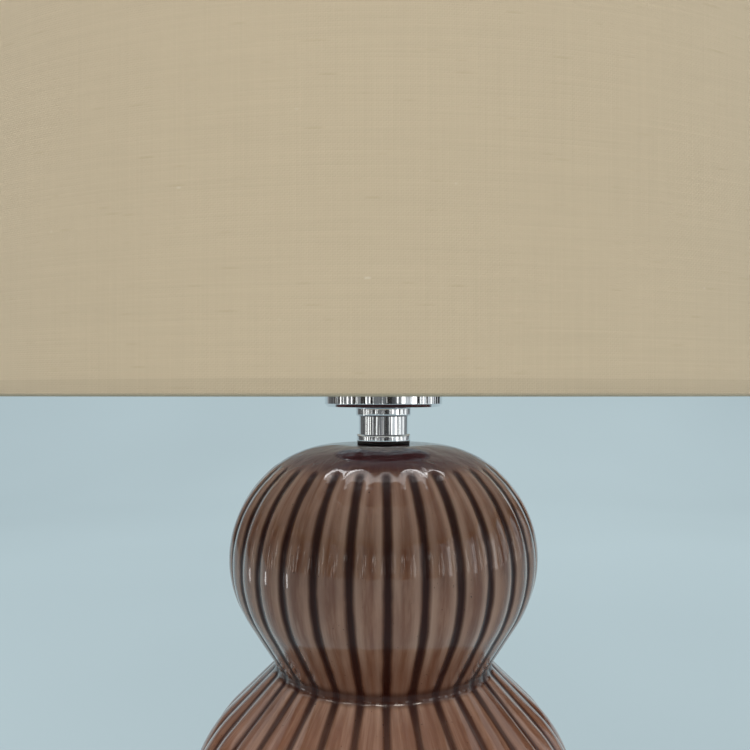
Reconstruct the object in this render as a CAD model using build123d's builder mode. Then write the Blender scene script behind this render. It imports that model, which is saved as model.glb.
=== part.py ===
from build123d import *
import os
from math import atan2, cos, degrees, radians, sin, sqrt, tan

# Table lamp: a hollow ribbed double-gourd body in glazed ceramic on a felt foot, drawn together by a
# threaded tube with a chromed neck and cup, a screw lampholder with its lamp, and a linen drum shade.
# Millimetres, +Z up, origin under the middle of the felt. The cord leaves at the back, towards +Y.

os.makedirs("parts", exist_ok=True)

# Ceramic body: bulbs, ribs and crease
RIB_COUNT = 30
RIB_CROWN_R = 20.0
UPPER_BULB_R = 70.6
UPPER_ROUND = 50.5
UPPER_FLANK = 32.0
LOWER_BULB_R = 90.0
LOWER_ROUND = 63.5
LOWER_FLANK = 46.0
UNDER_ROUND = 47.0
BULB_SPACING = 116.2
CREASE_ROUND = 4.0
CERAMIC_WALL = 6.5
SMOOTH_TOP_ANGLE = 34.0
SMOOTH_TOP_RISE = 0.15
RIB_RUNOUT_ANGLE = 3.0
RIB_RUNOUT_DEPTH = 1.5
TOP_BOSS_R = 24.0
TOP_BOSS_DEPTH = 1.5

# Ceramic foot and the felt under it
FOOT_R = 62.6
FOOT_LIP = 0.6
FOOT_HEIGHT = 12.5
FOOT_WALL = 8.6
FLOOR_LEDGE = 14.0
FELT_T = 2.5
FELT_MARGIN = 2.0

# Threaded tube and what it clamps below
ROD_R = 5.0
ROD_BORE_R = 3.8
ROD_GAP = 0.3
THREAD_GAP = 0.05
ROD_FOOT_GAP = 2.0
PLATE_MARGIN = 4.0
PLATE_T = 2.0
WASHER_R = 10.0
WASHER_T = 1.5
NUT_FLATS = 17.0
NUT_T = 5.0

# Cord inlet
INLET_BORE_R = 3.2
INLET_BODY_R = 4.8
INLET_FLANGE_R = 5.6
INLET_FLANGE_T = 1.6
INLET_LIP_T = 1.2
INLET_GAP = 0.1
INLET_SPOT_DEPTH = 0.5
INLET_SPOT_GAP = 0.4
INLET_DROP = 6.3

# Neck and cup
GASKET_R = 12.3
GASKET_T = 0.8
NECK_R = 11.5
NECK_HEIGHT = 16.4
NECK_TOP_BEAD_R = 12.85
NECK_TOP_BEAD_H = 4.4
NECK_FOOT_BEAD_R = 12.5
NECK_FOOT_BEAD_H = 3.8
NECK_BEAD_ROUND = 0.9
CUP_R = 27.4
CUP_HEIGHT = 26.0
CUP_WALL = 1.2
CUP_EDGE = 1.4
CUP_NUT_FLATS = 14.0
CUP_NUT_T = 3.0

# Lampholder
CAP_R = 21.0
CAP_WALL = 1.8
CAP_HEIGHT = 23.0
CAP_BOSS_R = 8.0
CAP_BOSS_HEIGHT = 5.0
CAP_FLOOR_T = 3.0
CAP_INNER_BOSS = 2.0
CAP_LEDGE_HEIGHT = 15.0
CAP_LEDGE_W = 1.7
CAP_SHOULDER = 4.0
GRUB_R = 1.5
GRUB_GAP = 0.1
CORE_GAP = 0.1
CORE_SPIGOT_R = 16.8
CORE_SPIGOT_H = 2.0
TERMINAL_OFFSET = 9.5
TERMINAL_HEAD_R = 2.8
TERMINAL_HEAD_T = 1.8
TERMINAL_R = 1.5
TERMINAL_LENGTH = 6.0
TERMINAL_SLOT = 0.7
SHELL_BORE_R = 13.6
SHELL_WALL = 0.5
SHELL_HEIGHT = 22.0
TONGUE_W = 5.0
TONGUE_T = 0.5
TONGUE_RISE = 2.5
TONGUE_REACH = 3.5
TONGUE_FOOT = 4.0
TONGUE_RAMP = 2.5
SKIRT_R = 19.9
SKIRT_BORE_R = 17.0
SKIRT_HEIGHT = 32.0
FLANGE_R = 25.0
FLANGE_T = 2.0
FLANGE_HEIGHT = 11.0

# Shade ring
SHADE_RING_GAP = 0.3
SHADE_RING_R = 27.5
SHADE_RING_HEIGHT = 8.0
GRIP_COUNT = 24
GRIP_R = 1.2

# Lamp
LAMP_TIP_R = 5.0
LAMP_TIP_T = 1.0
LAMP_INSULATOR_R = 11.0
LAMP_INSULATOR_H = 3.0
LAMP_CAP_R = 13.1
LAMP_CAP_HEIGHT = 22.0
LAMP_COLLAR_R = 14.0
LAMP_HOUSING_HEIGHT = 34.0
LAMP_GLOBE_R = 30.0
LAMP_SEAT_R = 26.0
LAMP_GLASS_T = 1.2

# Shade and its wire carrier
SHADE_R = 190.0
SHADE_HEIGHT = 235.0
FABRIC_T = 1.0
LINER_T = 0.8
LINER_GAP = 0.05
WIRE_R = 1.5
WIRE_GAP = 0.3
HEM_LEG = 8.0
HEM_NOTCH_GAP = 0.7
FITTER_RISE = 35.1
FITTER_BORE_R = 21.0
FITTER_R = 30.0
FITTER_T = 1.5
SPOKE_COUNT = 3
SPOKE_GAP = 0.05
SPOKE_RIM_RUN = 16.0
SPOKE_FITTER_RUN = 14.0
SPOKE_BEND_R = 12.0

# Levels worked out from the sizes above
floor_z = FELT_T + FOOT_HEIGHT
rib_end_r = FOOT_R - FOOT_LIP
under_centre_r = LOWER_BULB_R - UNDER_ROUND
lower_z = floor_z + sqrt(UNDER_ROUND**2 - (rib_end_r - under_centre_r) ** 2)
upper_z = lower_z + BULB_SPACING
rib_top_z = upper_z + UPPER_ROUND
gasket_z = rib_top_z + SMOOTH_TOP_RISE
neck_z = gasket_z + GASKET_T
cup_z = neck_z + NECK_HEIGHT
cup_nut_z = cup_z + CUP_WALL
cap_z = cup_nut_z + CUP_NUT_T
skirt_z = cap_z + CAP_HEIGHT
core_top_z = skirt_z + CORE_SPIGOT_H
flange_z = skirt_z + FLANGE_HEIGHT
fitter_z = flange_z + FLANGE_T
shade_ring_z = fitter_z + FITTER_T
rim_z = fitter_z - FITTER_RISE
shade_top_z = rim_z + SHADE_HEIGHT
lamp_z = core_top_z + TONGUE_RISE


def on_circle(centre, radius, angle):
    """Point of a circle at an angle in degrees from its radial direction."""
    return (centre[0] + radius * cos(radians(angle)), centre[1] + radius * sin(radians(angle)))


def ring(outer_r, inner_r, bottom, height):
    """Plain ring about the Z axis, added to the part in hand."""
    with BuildSketch(Plane.XY.offset(bottom)) as section:
        Circle(outer_r)
        Circle(inner_r, mode=Mode.SUBTRACT)
    extrude(section.sketch, amount=height)


def hex_nut(flats, bore_r, bottom, height):
    """Hexagon nut about the Z axis, added to the part in hand."""
    with BuildSketch(Plane.XY.offset(bottom)) as section:
        RegularPolygon(flats / 2, 6, major_radius=False)
        Circle(bore_r, mode=Mode.SUBTRACT)
    extrude(section.sketch, amount=height)


def save(piece, name):
    """Label a finished piece and write it under its own name."""
    piece.part.label = name
    export_step(piece.part, f"parts/{name}.step")


# Ceramic body: the meridian that every rib crown follows, from the top of the upper bulb to the foot
upper_centre = (UPPER_BULB_R - UPPER_ROUND, upper_z)
lower_centre = (LOWER_BULB_R - LOWER_ROUND, lower_z)
under_centre = (under_centre_r, lower_z)
upper_flank_top = on_circle(upper_centre, UPPER_ROUND, -UPPER_FLANK)
lower_flank_foot = on_circle(lower_centre, LOWER_ROUND, LOWER_FLANK)
upper_run = tan(radians(UPPER_FLANK))
lower_run = tan(radians(LOWER_FLANK))
crease_z = (
    lower_flank_foot[0]
    - upper_flank_top[0]
    + upper_flank_top[1] * upper_run
    + lower_flank_foot[1] * lower_run
) / (upper_run + lower_run)
crease_r = upper_flank_top[0] - (upper_flank_top[1] - crease_z) * upper_run
rib_end_angle = degrees(atan2(floor_z - lower_z, rib_end_r - under_centre_r))

with BuildLine(Plane.XZ) as meridian:
    CenterArc(upper_centre, UPPER_ROUND, 90, -90 - UPPER_FLANK)
    Polyline(upper_flank_top, (crease_r, crease_z), lower_flank_foot)
    CenterArc(lower_centre, LOWER_ROUND, LOWER_FLANK, -LOWER_FLANK)
    CenterArc(under_centre, UNDER_ROUND, 0, rib_end_angle)
    fillet(meridian.vertices().sort_by_distance((crease_r, 0, crease_z))[0], CREASE_ROUND)
crown_path = meridian.wires()[0]

# One rib: a round-crowned strip swept down the meridian and trimmed to its share of the circle
half_share = 180 / RIB_COUNT
strip_half_w = LOWER_BULB_R * tan(radians(half_share)) + FOOT_LIP
strip_drop = RIB_CROWN_R - sqrt(RIB_CROWN_R**2 - strip_half_w**2)
with BuildPart() as rib:
    with BuildSketch(Plane(origin=crown_path @ 0, x_dir=(0, 1, 0), z_dir=crown_path % 0)):
        with BuildLine():
            crown = ThreePointArc((-strip_half_w, -strip_drop), (0, 0), (strip_half_w, -strip_drop))
            Polyline(
                crown @ 1,
                (strip_half_w, -CERAMIC_WALL),
                (-strip_half_w, -CERAMIC_WALL),
                crown @ 0,
            )
        make_face()
    sweep(path=crown_path, transition=Transition.TRANSFORMED)
    share_reach = LOWER_BULB_R + CERAMIC_WALL
    share_half_w = share_reach * tan(radians(half_share))
    with BuildSketch(Plane.XY):
        Polygon((0, 0), (share_reach, -share_half_w), (share_reach, share_half_w), align=None)
    extrude(amount=rib_top_z + CERAMIC_WALL, mode=Mode.INTERSECT)

# The body: ribs all round, a foot ring with an open floor, and a smooth top where the ribs run out
inlet_z = FELT_T + INLET_DROP
foot_recess_r = FOOT_R - FOOT_WALL
floor_hole_r = foot_recess_r - FLOOR_LEDGE
smooth_edge = on_circle(upper_centre, UPPER_ROUND + SMOOTH_TOP_RISE, 90 - SMOOTH_TOP_ANGLE)
runout_edge = on_circle(
    upper_centre, UPPER_ROUND - RIB_RUNOUT_DEPTH, 90 - SMOOTH_TOP_ANGLE - RIB_RUNOUT_ANGLE
)
top_inside_z = rib_top_z - CERAMIC_WALL - TOP_BOSS_DEPTH
with BuildPart() as ceramic_body:
    with PolarLocations(0, RIB_COUNT):
        add(rib.part)
    with BuildSketch(Plane.XZ):
        Polygon(
            (floor_hole_r, floor_z),
            (foot_recess_r, floor_z),
            (foot_recess_r, FELT_T),
            (FOOT_R, FELT_T),
            (FOOT_R, floor_z + CERAMIC_WALL / 2),
            (rib_end_r, floor_z + CERAMIC_WALL),
            (floor_hole_r, floor_z + CERAMIC_WALL),
            align=None,
        )
    revolve(axis=Axis.Z)
    with BuildSketch(Plane.XZ):
        with BuildLine():
            dome = CenterArc(
                upper_centre, UPPER_ROUND + SMOOTH_TOP_RISE, 90 - SMOOTH_TOP_ANGLE, SMOOTH_TOP_ANGLE
            )
            Polyline(
                dome @ 1,
                (0, gasket_z),
                (0, top_inside_z),
                (TOP_BOSS_R, top_inside_z),
                (TOP_BOSS_R, rib_top_z - CERAMIC_WALL / 2),
                runout_edge,
                smooth_edge,
            )
        make_face()
    revolve(axis=Axis.Z)
    with BuildSketch(Plane.XY.offset(top_inside_z)):
        Circle(ROD_R + ROD_GAP)
    extrude(amount=CERAMIC_WALL + 2 * TOP_BOSS_DEPTH, mode=Mode.SUBTRACT)
    with Locations(Plane(origin=(0, FOOT_R, inlet_z), z_dir=(0, 1, 0))):
        CounterBoreHole(
            radius=INLET_BODY_R + INLET_GAP,
            counter_bore_radius=INLET_FLANGE_R + INLET_SPOT_GAP,
            counter_bore_depth=INLET_SPOT_DEPTH,
            depth=FOOT_WALL + INLET_LIP_T,
        )
save(ceramic_body, "ceramic_body")

# Felt under the foot
with BuildPart() as base_felt:
    with BuildSketch(Plane.XY):
        Circle(FOOT_R - FELT_MARGIN)
    extrude(amount=FELT_T)
save(base_felt, "base_felt")

# Plate, washer and nut that pull the tube down against the floor
plate_z = floor_z - PLATE_T
washer_z = plate_z - WASHER_T
base_nut_z = washer_z - NUT_T
with BuildPart() as base_plate:
    ring(foot_recess_r - PLATE_MARGIN, ROD_R + ROD_GAP, plate_z, PLATE_T)
save(base_plate, "base_plate")

with BuildPart() as base_washer:
    ring(WASHER_R, ROD_R + ROD_GAP, washer_z, WASHER_T)
save(base_washer, "base_washer")

with BuildPart() as base_nut:
    hex_nut(NUT_FLATS, ROD_R + THREAD_GAP, base_nut_z, NUT_T)
save(base_nut, "base_nut")

# Threaded tube from under the nut up into the lampholder
rod_foot_z = base_nut_z - ROD_FOOT_GAP
rod_top_z = cap_z + CAP_BOSS_HEIGHT + CAP_FLOOR_T
with BuildPart() as center_rod:
    ring(ROD_R, ROD_BORE_R, rod_foot_z, rod_top_z - rod_foot_z)
save(center_rod, "center_rod")

# Rubber inlet for the cord in the back of the foot ring
inlet_seat_y = FOOT_R - INLET_SPOT_DEPTH
inlet_lip_y = sqrt(foot_recess_r**2 - INLET_FLANGE_R**2) - INLET_GAP
with BuildPart() as cord_grommet:
    with BuildSketch(Plane(origin=(0, inlet_seat_y, inlet_z), z_dir=(0, 1, 0))):
        Circle(INLET_FLANGE_R)
    extrude(amount=INLET_FLANGE_T)
    with BuildSketch(Plane(origin=(0, inlet_lip_y, inlet_z), z_dir=(0, 1, 0))):
        Circle(INLET_BODY_R)
    extrude(amount=inlet_seat_y - inlet_lip_y)
    with BuildSketch(Plane(origin=(0, inlet_lip_y, inlet_z), z_dir=(0, -1, 0))):
        Circle(INLET_FLANGE_R)
    extrude(amount=INLET_LIP_T)
    with BuildSketch(Plane(origin=(0, inlet_lip_y - INLET_LIP_T, inlet_z), z_dir=(0, 1, 0))):
        Circle(INLET_BORE_R)
    extrude(amount=FOOT_WALL + 2 * (INLET_FLANGE_T + INLET_LIP_T), mode=Mode.SUBTRACT)
save(cord_grommet, "cord_grommet")

# Rubber gasket between the glaze and the neck
with BuildPart() as neck_gasket:
    ring(GASKET_R, ROD_R + ROD_GAP, gasket_z, GASKET_T)
save(neck_gasket, "neck_gasket")

# Turned neck: a plain barrel between two beads
with BuildPart() as neck:
    with BuildSketch(Plane.XZ) as neck_section:
        Polygon(
            (ROD_R + ROD_GAP, neck_z),
            (NECK_FOOT_BEAD_R, neck_z),
            (NECK_FOOT_BEAD_R, neck_z + NECK_FOOT_BEAD_H),
            (NECK_R, neck_z + NECK_FOOT_BEAD_H),
            (NECK_R, cup_z - NECK_TOP_BEAD_H),
            (NECK_TOP_BEAD_R, cup_z - NECK_TOP_BEAD_H),
            (NECK_TOP_BEAD_R, cup_z),
            (ROD_R + ROD_GAP, cup_z),
            align=None,
        )
        bead_corners = neck_section.vertices().sort_by(Axis.X)[-4:]
        fillet(bead_corners, NECK_BEAD_ROUND)
    revolve(axis=Axis.Z)
save(neck, "neck")

# Drawn cup that hides the foot of the lampholder
with BuildPart() as holder_cup:
    with BuildSketch(Plane.XZ):
        Polygon(
            (ROD_R + ROD_GAP, cup_z),
            (CUP_R, cup_z),
            (CUP_R, cup_z + CUP_HEIGHT),
            (CUP_R - CUP_WALL, cup_z + CUP_HEIGHT),
            (CUP_R - CUP_WALL, cup_nut_z),
            (ROD_R + ROD_GAP, cup_nut_z),
            align=None,
        )
    revolve(axis=Axis.Z)
    outer_edge = holder_cup.edges().filter_by(GeomType.CIRCLE).filter_by_position(Axis.Z, cup_z, cup_z)
    fillet(outer_edge.sort_by(SortBy.RADIUS)[-1], CUP_EDGE)
    inner_edge = holder_cup.edges().filter_by(GeomType.CIRCLE)
    inner_edge = inner_edge.filter_by_position(Axis.Z, cup_nut_z, cup_nut_z)
    fillet(inner_edge.sort_by(SortBy.RADIUS)[-1], CUP_EDGE - CUP_WALL)
save(holder_cup, "holder_cup")

# Nut that clamps cup, neck and body together
with BuildPart() as cup_nut:
    hex_nut(CUP_NUT_FLATS, ROD_R + THREAD_GAP, cup_nut_z, CUP_NUT_T)
save(cup_nut, "cup_nut")

# Lampholder cap, screwed on the tube and locked by a grub screw in its boss
cap_floor_z = cap_z + CAP_BOSS_HEIGHT
cap_inside_z = cap_floor_z + CAP_FLOOR_T
ledge_z = cap_z + CAP_LEDGE_HEIGHT
cap_bore_r = CAP_R - CAP_WALL
grub_z = cap_z + CAP_BOSS_HEIGHT / 2
with BuildPart() as holder_cap:
    with BuildSketch(Plane.XZ) as cap_section:
        Polygon(
            (ROD_R + THREAD_GAP, cap_z),
            (CAP_BOSS_R, cap_z),
            (CAP_BOSS_R, cap_floor_z),
            (CAP_R, cap_floor_z),
            (CAP_R, skirt_z),
            (cap_bore_r, skirt_z),
            (cap_bore_r, ledge_z),
            (cap_bore_r - CAP_LEDGE_W, ledge_z),
            (cap_bore_r - CAP_LEDGE_W, cap_inside_z),
            (CAP_BOSS_R, cap_inside_z),
            (CAP_BOSS_R, cap_inside_z + CAP_INNER_BOSS),
            (ROD_R + THREAD_GAP, cap_inside_z + CAP_INNER_BOSS),
            align=None,
        )
        fillet(cap_section.vertices().sort_by_distance((CAP_R, cap_floor_z))[0], CAP_SHOULDER)
    revolve(axis=Axis.Z)
    with BuildSketch(Plane(origin=(0, 0, grub_z), z_dir=(0, 1, 0))):
        Circle(GRUB_R + GRUB_GAP)
    extrude(amount=CAP_BOSS_R + GRUB_R, mode=Mode.SUBTRACT)
save(holder_cap, "holder_cap")

with BuildPart() as grub_screw:
    with BuildSketch(Plane(origin=(0, ROD_R + THREAD_GAP, grub_z), z_dir=(0, 1, 0))):
        Circle(GRUB_R)
    extrude(amount=CAP_BOSS_R - ROD_R - THREAD_GAP)
save(grub_screw, "grub_screw")

# Porcelain core on the cap's ledge, with blind holes for the terminal screws
with BuildPart() as holder_core:
    with BuildSketch(Plane.XY.offset(ledge_z)):
        Circle(cap_bore_r - CORE_GAP)
    extrude(amount=skirt_z - ledge_z)
    with BuildSketch(Plane.XY.offset(skirt_z)):
        Circle(CORE_SPIGOT_R)
    extrude(amount=CORE_SPIGOT_H)
    with BuildSketch(Plane.XY.offset(ledge_z)):
        with PolarLocations(TERMINAL_OFFSET, 2):
            Circle(TERMINAL_R + THREAD_GAP)
    extrude(amount=TERMINAL_LENGTH + TERMINAL_SLOT, mode=Mode.SUBTRACT)
save(holder_core, "holder_core")

with BuildPart() as terminal_screws:
    with BuildSketch(Plane.XY.offset(ledge_z - TERMINAL_HEAD_T)):
        with PolarLocations(TERMINAL_OFFSET, 2):
            Circle(TERMINAL_HEAD_R)
    extrude(amount=TERMINAL_HEAD_T)
    with BuildSketch(Plane.XY.offset(ledge_z)):
        with PolarLocations(TERMINAL_OFFSET, 2):
            Circle(TERMINAL_R)
    extrude(amount=TERMINAL_LENGTH)
    with BuildSketch(Plane.XY.offset(ledge_z - TERMINAL_HEAD_T)):
        with PolarLocations(TERMINAL_OFFSET, 2):
            Rectangle(TERMINAL_SLOT, 2 * TERMINAL_HEAD_R)
    extrude(amount=TERMINAL_SLOT, mode=Mode.SUBTRACT)
save(terminal_screws, "terminal_screws")

# Brass screw shell and sprung centre tongue on the core
with BuildPart() as screw_shell:
    ring(SHELL_BORE_R + SHELL_WALL, SHELL_BORE_R, core_top_z, SHELL_HEIGHT)
save(screw_shell, "screw_shell")

ramp_foot_x = -TONGUE_REACH - TONGUE_RAMP
with BuildPart() as center_contact:
    with BuildSketch(Plane.XZ.offset(-TONGUE_W / 2)):
        Polygon(
            (ramp_foot_x - TONGUE_FOOT, core_top_z),
            (ramp_foot_x, core_top_z),
            (-TONGUE_REACH, lamp_z - TONGUE_T),
            (TONGUE_REACH, lamp_z - TONGUE_T),
            (TONGUE_REACH, lamp_z),
            (-TONGUE_REACH - TONGUE_T / 2, lamp_z),
            (ramp_foot_x - TONGUE_T / 2, core_top_z + TONGUE_T),
            (ramp_foot_x - TONGUE_FOOT, core_top_z + TONGUE_T),
            align=None,
        )
    extrude(amount=TONGUE_W)
save(center_contact, "center_contact")

# Outer sleeve of the lampholder with the flange that carries the shade
with BuildPart() as holder_skirt:
    ring(SKIRT_R, SKIRT_BORE_R, skirt_z, SKIRT_HEIGHT)
    ring(FLANGE_R, SKIRT_BORE_R, flange_z, FLANGE_T)
save(holder_skirt, "holder_skirt")

# Shade ring with finger grips, screwed down on the shade's fitter
with BuildPart() as shade_ring:
    with BuildSketch(Plane.XY.offset(shade_ring_z)):
        Circle(SHADE_RING_R)
        Circle(SKIRT_R + SHADE_RING_GAP, mode=Mode.SUBTRACT)
        with PolarLocations(SHADE_RING_R, GRIP_COUNT):
            Circle(GRIP_R, mode=Mode.SUBTRACT)
    extrude(amount=SHADE_RING_HEIGHT)
save(shade_ring, "shade_ring")

# Lamp: contact, insulator, cap, housing and frosted globe
insulator_z = lamp_z + LAMP_TIP_T
lamp_cap_z = insulator_z + LAMP_INSULATOR_H
housing_z = lamp_cap_z + LAMP_CAP_HEIGHT
globe_seat_z = housing_z + LAMP_HOUSING_HEIGHT
globe_centre = (0, globe_seat_z + sqrt(LAMP_GLOBE_R**2 - LAMP_SEAT_R**2))
globe_seat_angle = degrees(atan2(globe_seat_z - globe_centre[1], LAMP_SEAT_R))
with BuildPart() as lamp_contact:
    with BuildSketch(Plane.XY.offset(lamp_z)):
        Circle(LAMP_TIP_R)
    extrude(amount=LAMP_TIP_T)
save(lamp_contact, "lamp_contact")

with BuildPart() as lamp_insulator:
    with Locations((0, 0, insulator_z)):
        Cone(
            LAMP_TIP_R,
            LAMP_INSULATOR_R,
            LAMP_INSULATOR_H,
            align=(Align.CENTER, Align.CENTER, Align.MIN),
        )
save(lamp_insulator, "lamp_insulator")

with BuildPart() as lamp_cap:
    with BuildSketch(Plane.XY.offset(lamp_cap_z)):
        Circle(LAMP_CAP_R)
    extrude(amount=LAMP_CAP_HEIGHT)
    chamfer(lamp_cap.faces().sort_by(Axis.Z)[0].edges(), LAMP_CAP_R - LAMP_INSULATOR_R)
save(lamp_cap, "lamp_cap")

with BuildPart() as lamp_housing:
    with BuildSketch(Plane.XZ):
        with BuildLine():
            flare = TangentArc((LAMP_COLLAR_R, housing_z), (LAMP_SEAT_R, globe_seat_z), tangent=(0, 1))
            Polyline(flare @ 1, (0, globe_seat_z), (0, housing_z), flare @ 0)
        make_face()
    revolve(axis=Axis.Z)
save(lamp_housing, "lamp_housing")

with BuildPart() as lamp_globe:
    with BuildSketch(Plane.XZ):
        with BuildLine():
            outside = CenterArc(globe_centre, LAMP_GLOBE_R, globe_seat_angle, 90 - globe_seat_angle)
            inside = CenterArc(
                globe_centre, LAMP_GLOBE_R - LAMP_GLASS_T, globe_seat_angle, 90 - globe_seat_angle
            )
            Line(outside @ 0, inside @ 0)
            Line(outside @ 1, inside @ 1)
        make_face()
    revolve(axis=Axis.Z)
    split(bisect_by=Plane.XY.offset(globe_seat_z), keep=Keep.TOP)
save(lamp_globe, "lamp_globe")

# Linen drum, turned in over a wire ring at both rims
hem_r = FABRIC_T + WIRE_R + WIRE_GAP
hem_mid_r = SHADE_R - hem_r
hem_low_z = rim_z + hem_r
hem_high_z = shade_top_z - hem_r
hem_leg_r = SHADE_R - 2 * hem_r
with BuildPart() as shade_fabric:
    with BuildSketch(Plane.XZ):
        with BuildLine():
            outer_low = CenterArc((hem_mid_r, hem_low_z), hem_r, 180, 180)
            outer_high = CenterArc((hem_mid_r, hem_high_z), hem_r, 0, 180)
            inner_low = CenterArc((hem_mid_r, hem_low_z), hem_r - FABRIC_T, 180, 180)
            inner_high = CenterArc((hem_mid_r, hem_high_z), hem_r - FABRIC_T, 0, 180)
            Line(outer_low @ 1, outer_high @ 0)
            Line(inner_low @ 1, inner_high @ 0)
            Polyline(
                outer_low @ 0,
                (hem_leg_r, hem_low_z + HEM_LEG),
                (hem_leg_r + FABRIC_T, hem_low_z + HEM_LEG),
                inner_low @ 0,
            )
            Polyline(
                outer_high @ 1,
                (hem_leg_r, hem_high_z - HEM_LEG),
                (hem_leg_r + FABRIC_T, hem_high_z - HEM_LEG),
                inner_high @ 1,
            )
        make_face()
    revolve(axis=Axis.Z)
    with BuildSketch(Plane.XY.offset(hem_low_z - WIRE_R - HEM_NOTCH_GAP)):
        with PolarLocations(hem_leg_r, SPOKE_COUNT, start_angle=90):
            Rectangle(hem_r, 2 * (WIRE_R + HEM_NOTCH_GAP))
    extrude(amount=HEM_LEG + 2 * hem_r, mode=Mode.SUBTRACT)
save(shade_fabric, "shade_fabric")

# Stiff liner that the linen is laid on
liner_r = SHADE_R - FABRIC_T - LINER_GAP
liner_inset = hem_r + WIRE_R + WIRE_GAP
with BuildPart() as shade_liner:
    ring(liner_r, liner_r - LINER_T, rim_z + liner_inset, SHADE_HEIGHT - 2 * liner_inset)
save(shade_liner, "shade_liner")

# Wire rings inside both hems
with BuildPart() as bottom_wire:
    with Locations((0, 0, hem_low_z)):
        Torus(hem_mid_r, WIRE_R)
save(bottom_wire, "bottom_wire")

with BuildPart() as top_wire:
    with Locations((0, 0, hem_high_z)):
        Torus(hem_mid_r, WIRE_R)
save(top_wire, "top_wire")

# Fitter ring on the lampholder's flange, and the spokes that carry the bottom ring from it
with BuildPart() as fitter_ring:
    ring(FITTER_R, FITTER_BORE_R, fitter_z, FITTER_T)
save(fitter_ring, "fitter_ring")

spoke_rim_r = hem_mid_r - WIRE_R - SPOKE_GAP
spoke_fitter_r = FITTER_R + SPOKE_GAP
spoke_top_z = fitter_z + FITTER_T / 2
with BuildPart() as spoke:
    with BuildLine(Plane.XZ) as spoke_path:
        FilletPolyline(
            (spoke_rim_r, hem_low_z),
            (spoke_rim_r - SPOKE_RIM_RUN, hem_low_z),
            (spoke_fitter_r + SPOKE_FITTER_RUN, spoke_top_z),
            (spoke_fitter_r, spoke_top_z),
            radius=SPOKE_BEND_R,
        )
    with BuildSketch(Plane(origin=spoke_path.line @ 0, z_dir=spoke_path.line % 0)):
        Circle(WIRE_R)
    sweep(path=spoke_path.line)
with BuildPart() as spokes:
    with PolarLocations(0, SPOKE_COUNT, start_angle=90):
        add(spoke.part)
save(spokes, "spokes")
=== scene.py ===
from math import atan2, cos, hypot, pi, radians, sin, sqrt, tan

import bmesh
import bpy
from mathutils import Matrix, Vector


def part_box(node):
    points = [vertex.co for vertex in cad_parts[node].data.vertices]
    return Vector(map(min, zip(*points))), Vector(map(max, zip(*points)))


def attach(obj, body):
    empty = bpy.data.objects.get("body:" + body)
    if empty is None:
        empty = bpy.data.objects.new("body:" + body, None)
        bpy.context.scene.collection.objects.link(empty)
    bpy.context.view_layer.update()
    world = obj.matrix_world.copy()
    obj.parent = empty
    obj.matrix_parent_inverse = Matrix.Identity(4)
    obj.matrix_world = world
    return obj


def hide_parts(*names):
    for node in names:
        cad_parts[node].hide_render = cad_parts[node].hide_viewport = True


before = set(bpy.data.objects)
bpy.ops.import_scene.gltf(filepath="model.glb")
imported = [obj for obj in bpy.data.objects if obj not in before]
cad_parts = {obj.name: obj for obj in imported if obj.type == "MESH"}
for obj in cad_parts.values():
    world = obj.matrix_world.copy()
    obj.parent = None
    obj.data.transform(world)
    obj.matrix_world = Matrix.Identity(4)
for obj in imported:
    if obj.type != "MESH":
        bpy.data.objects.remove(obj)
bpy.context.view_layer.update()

bl_info = {
    "name": "Ribbed table lamp",
    "version": (1, 0, 0),
    "blender": (4, 5, 0),
    "location": "View3D > Sidebar > Table Lamp",
    "description": "Ribbed ceramic body, chromed neck, linen drum shade and lamp on the packed frame",
    "category": "Add Mesh",
}

# The photograph's frame, in pixels
PHOTO_SIZE = 750
PHOTO_FOCAL = 750
PHOTO_AXIS_X = 383.5
PHOTO_HORIZON_Y = 395.0

# Width of the camera's sensor, in millimetres
SENSOR_WIDTH = 36

# Faces round the cloth and the film of the shade
DRUM_STEPS = 288


def tone(red, green, blue):
    """Linear colour of an 8-bit screen colour."""
    shares = (red / 255, green / 255, blue / 255)
    return tuple(((c + 0.055) / 1.055) ** 2.4 if c > 0.04045 else c / 12.92 for c in shares)


def count(name, description, default):
    """Whole number setting."""
    return bpy.props.IntProperty(name=name, description=description, default=default, min=6)


def length(name, description, default):
    """Length setting in metres."""
    return bpy.props.FloatProperty(
        name=name, description=description, default=default, min=0, unit="LENGTH", precision=5
    )


def angle(name, description, default):
    """Angle setting, given in degrees."""
    return bpy.props.FloatProperty(
        name=name, description=description, default=radians(default), subtype="ANGLE", unit="ROTATION"
    )


def power(name, description, default):
    """Light power setting in watts."""
    return bpy.props.FloatProperty(name=name, description=description, default=default, min=0, unit="POWER")


def colour(name, description, default):
    """Colour setting, given as an 8-bit screen colour."""
    return bpy.props.FloatVectorProperty(
        name=name, description=description, default=tone(*default), size=3, min=0, max=1, subtype="COLOR"
    )


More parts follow.
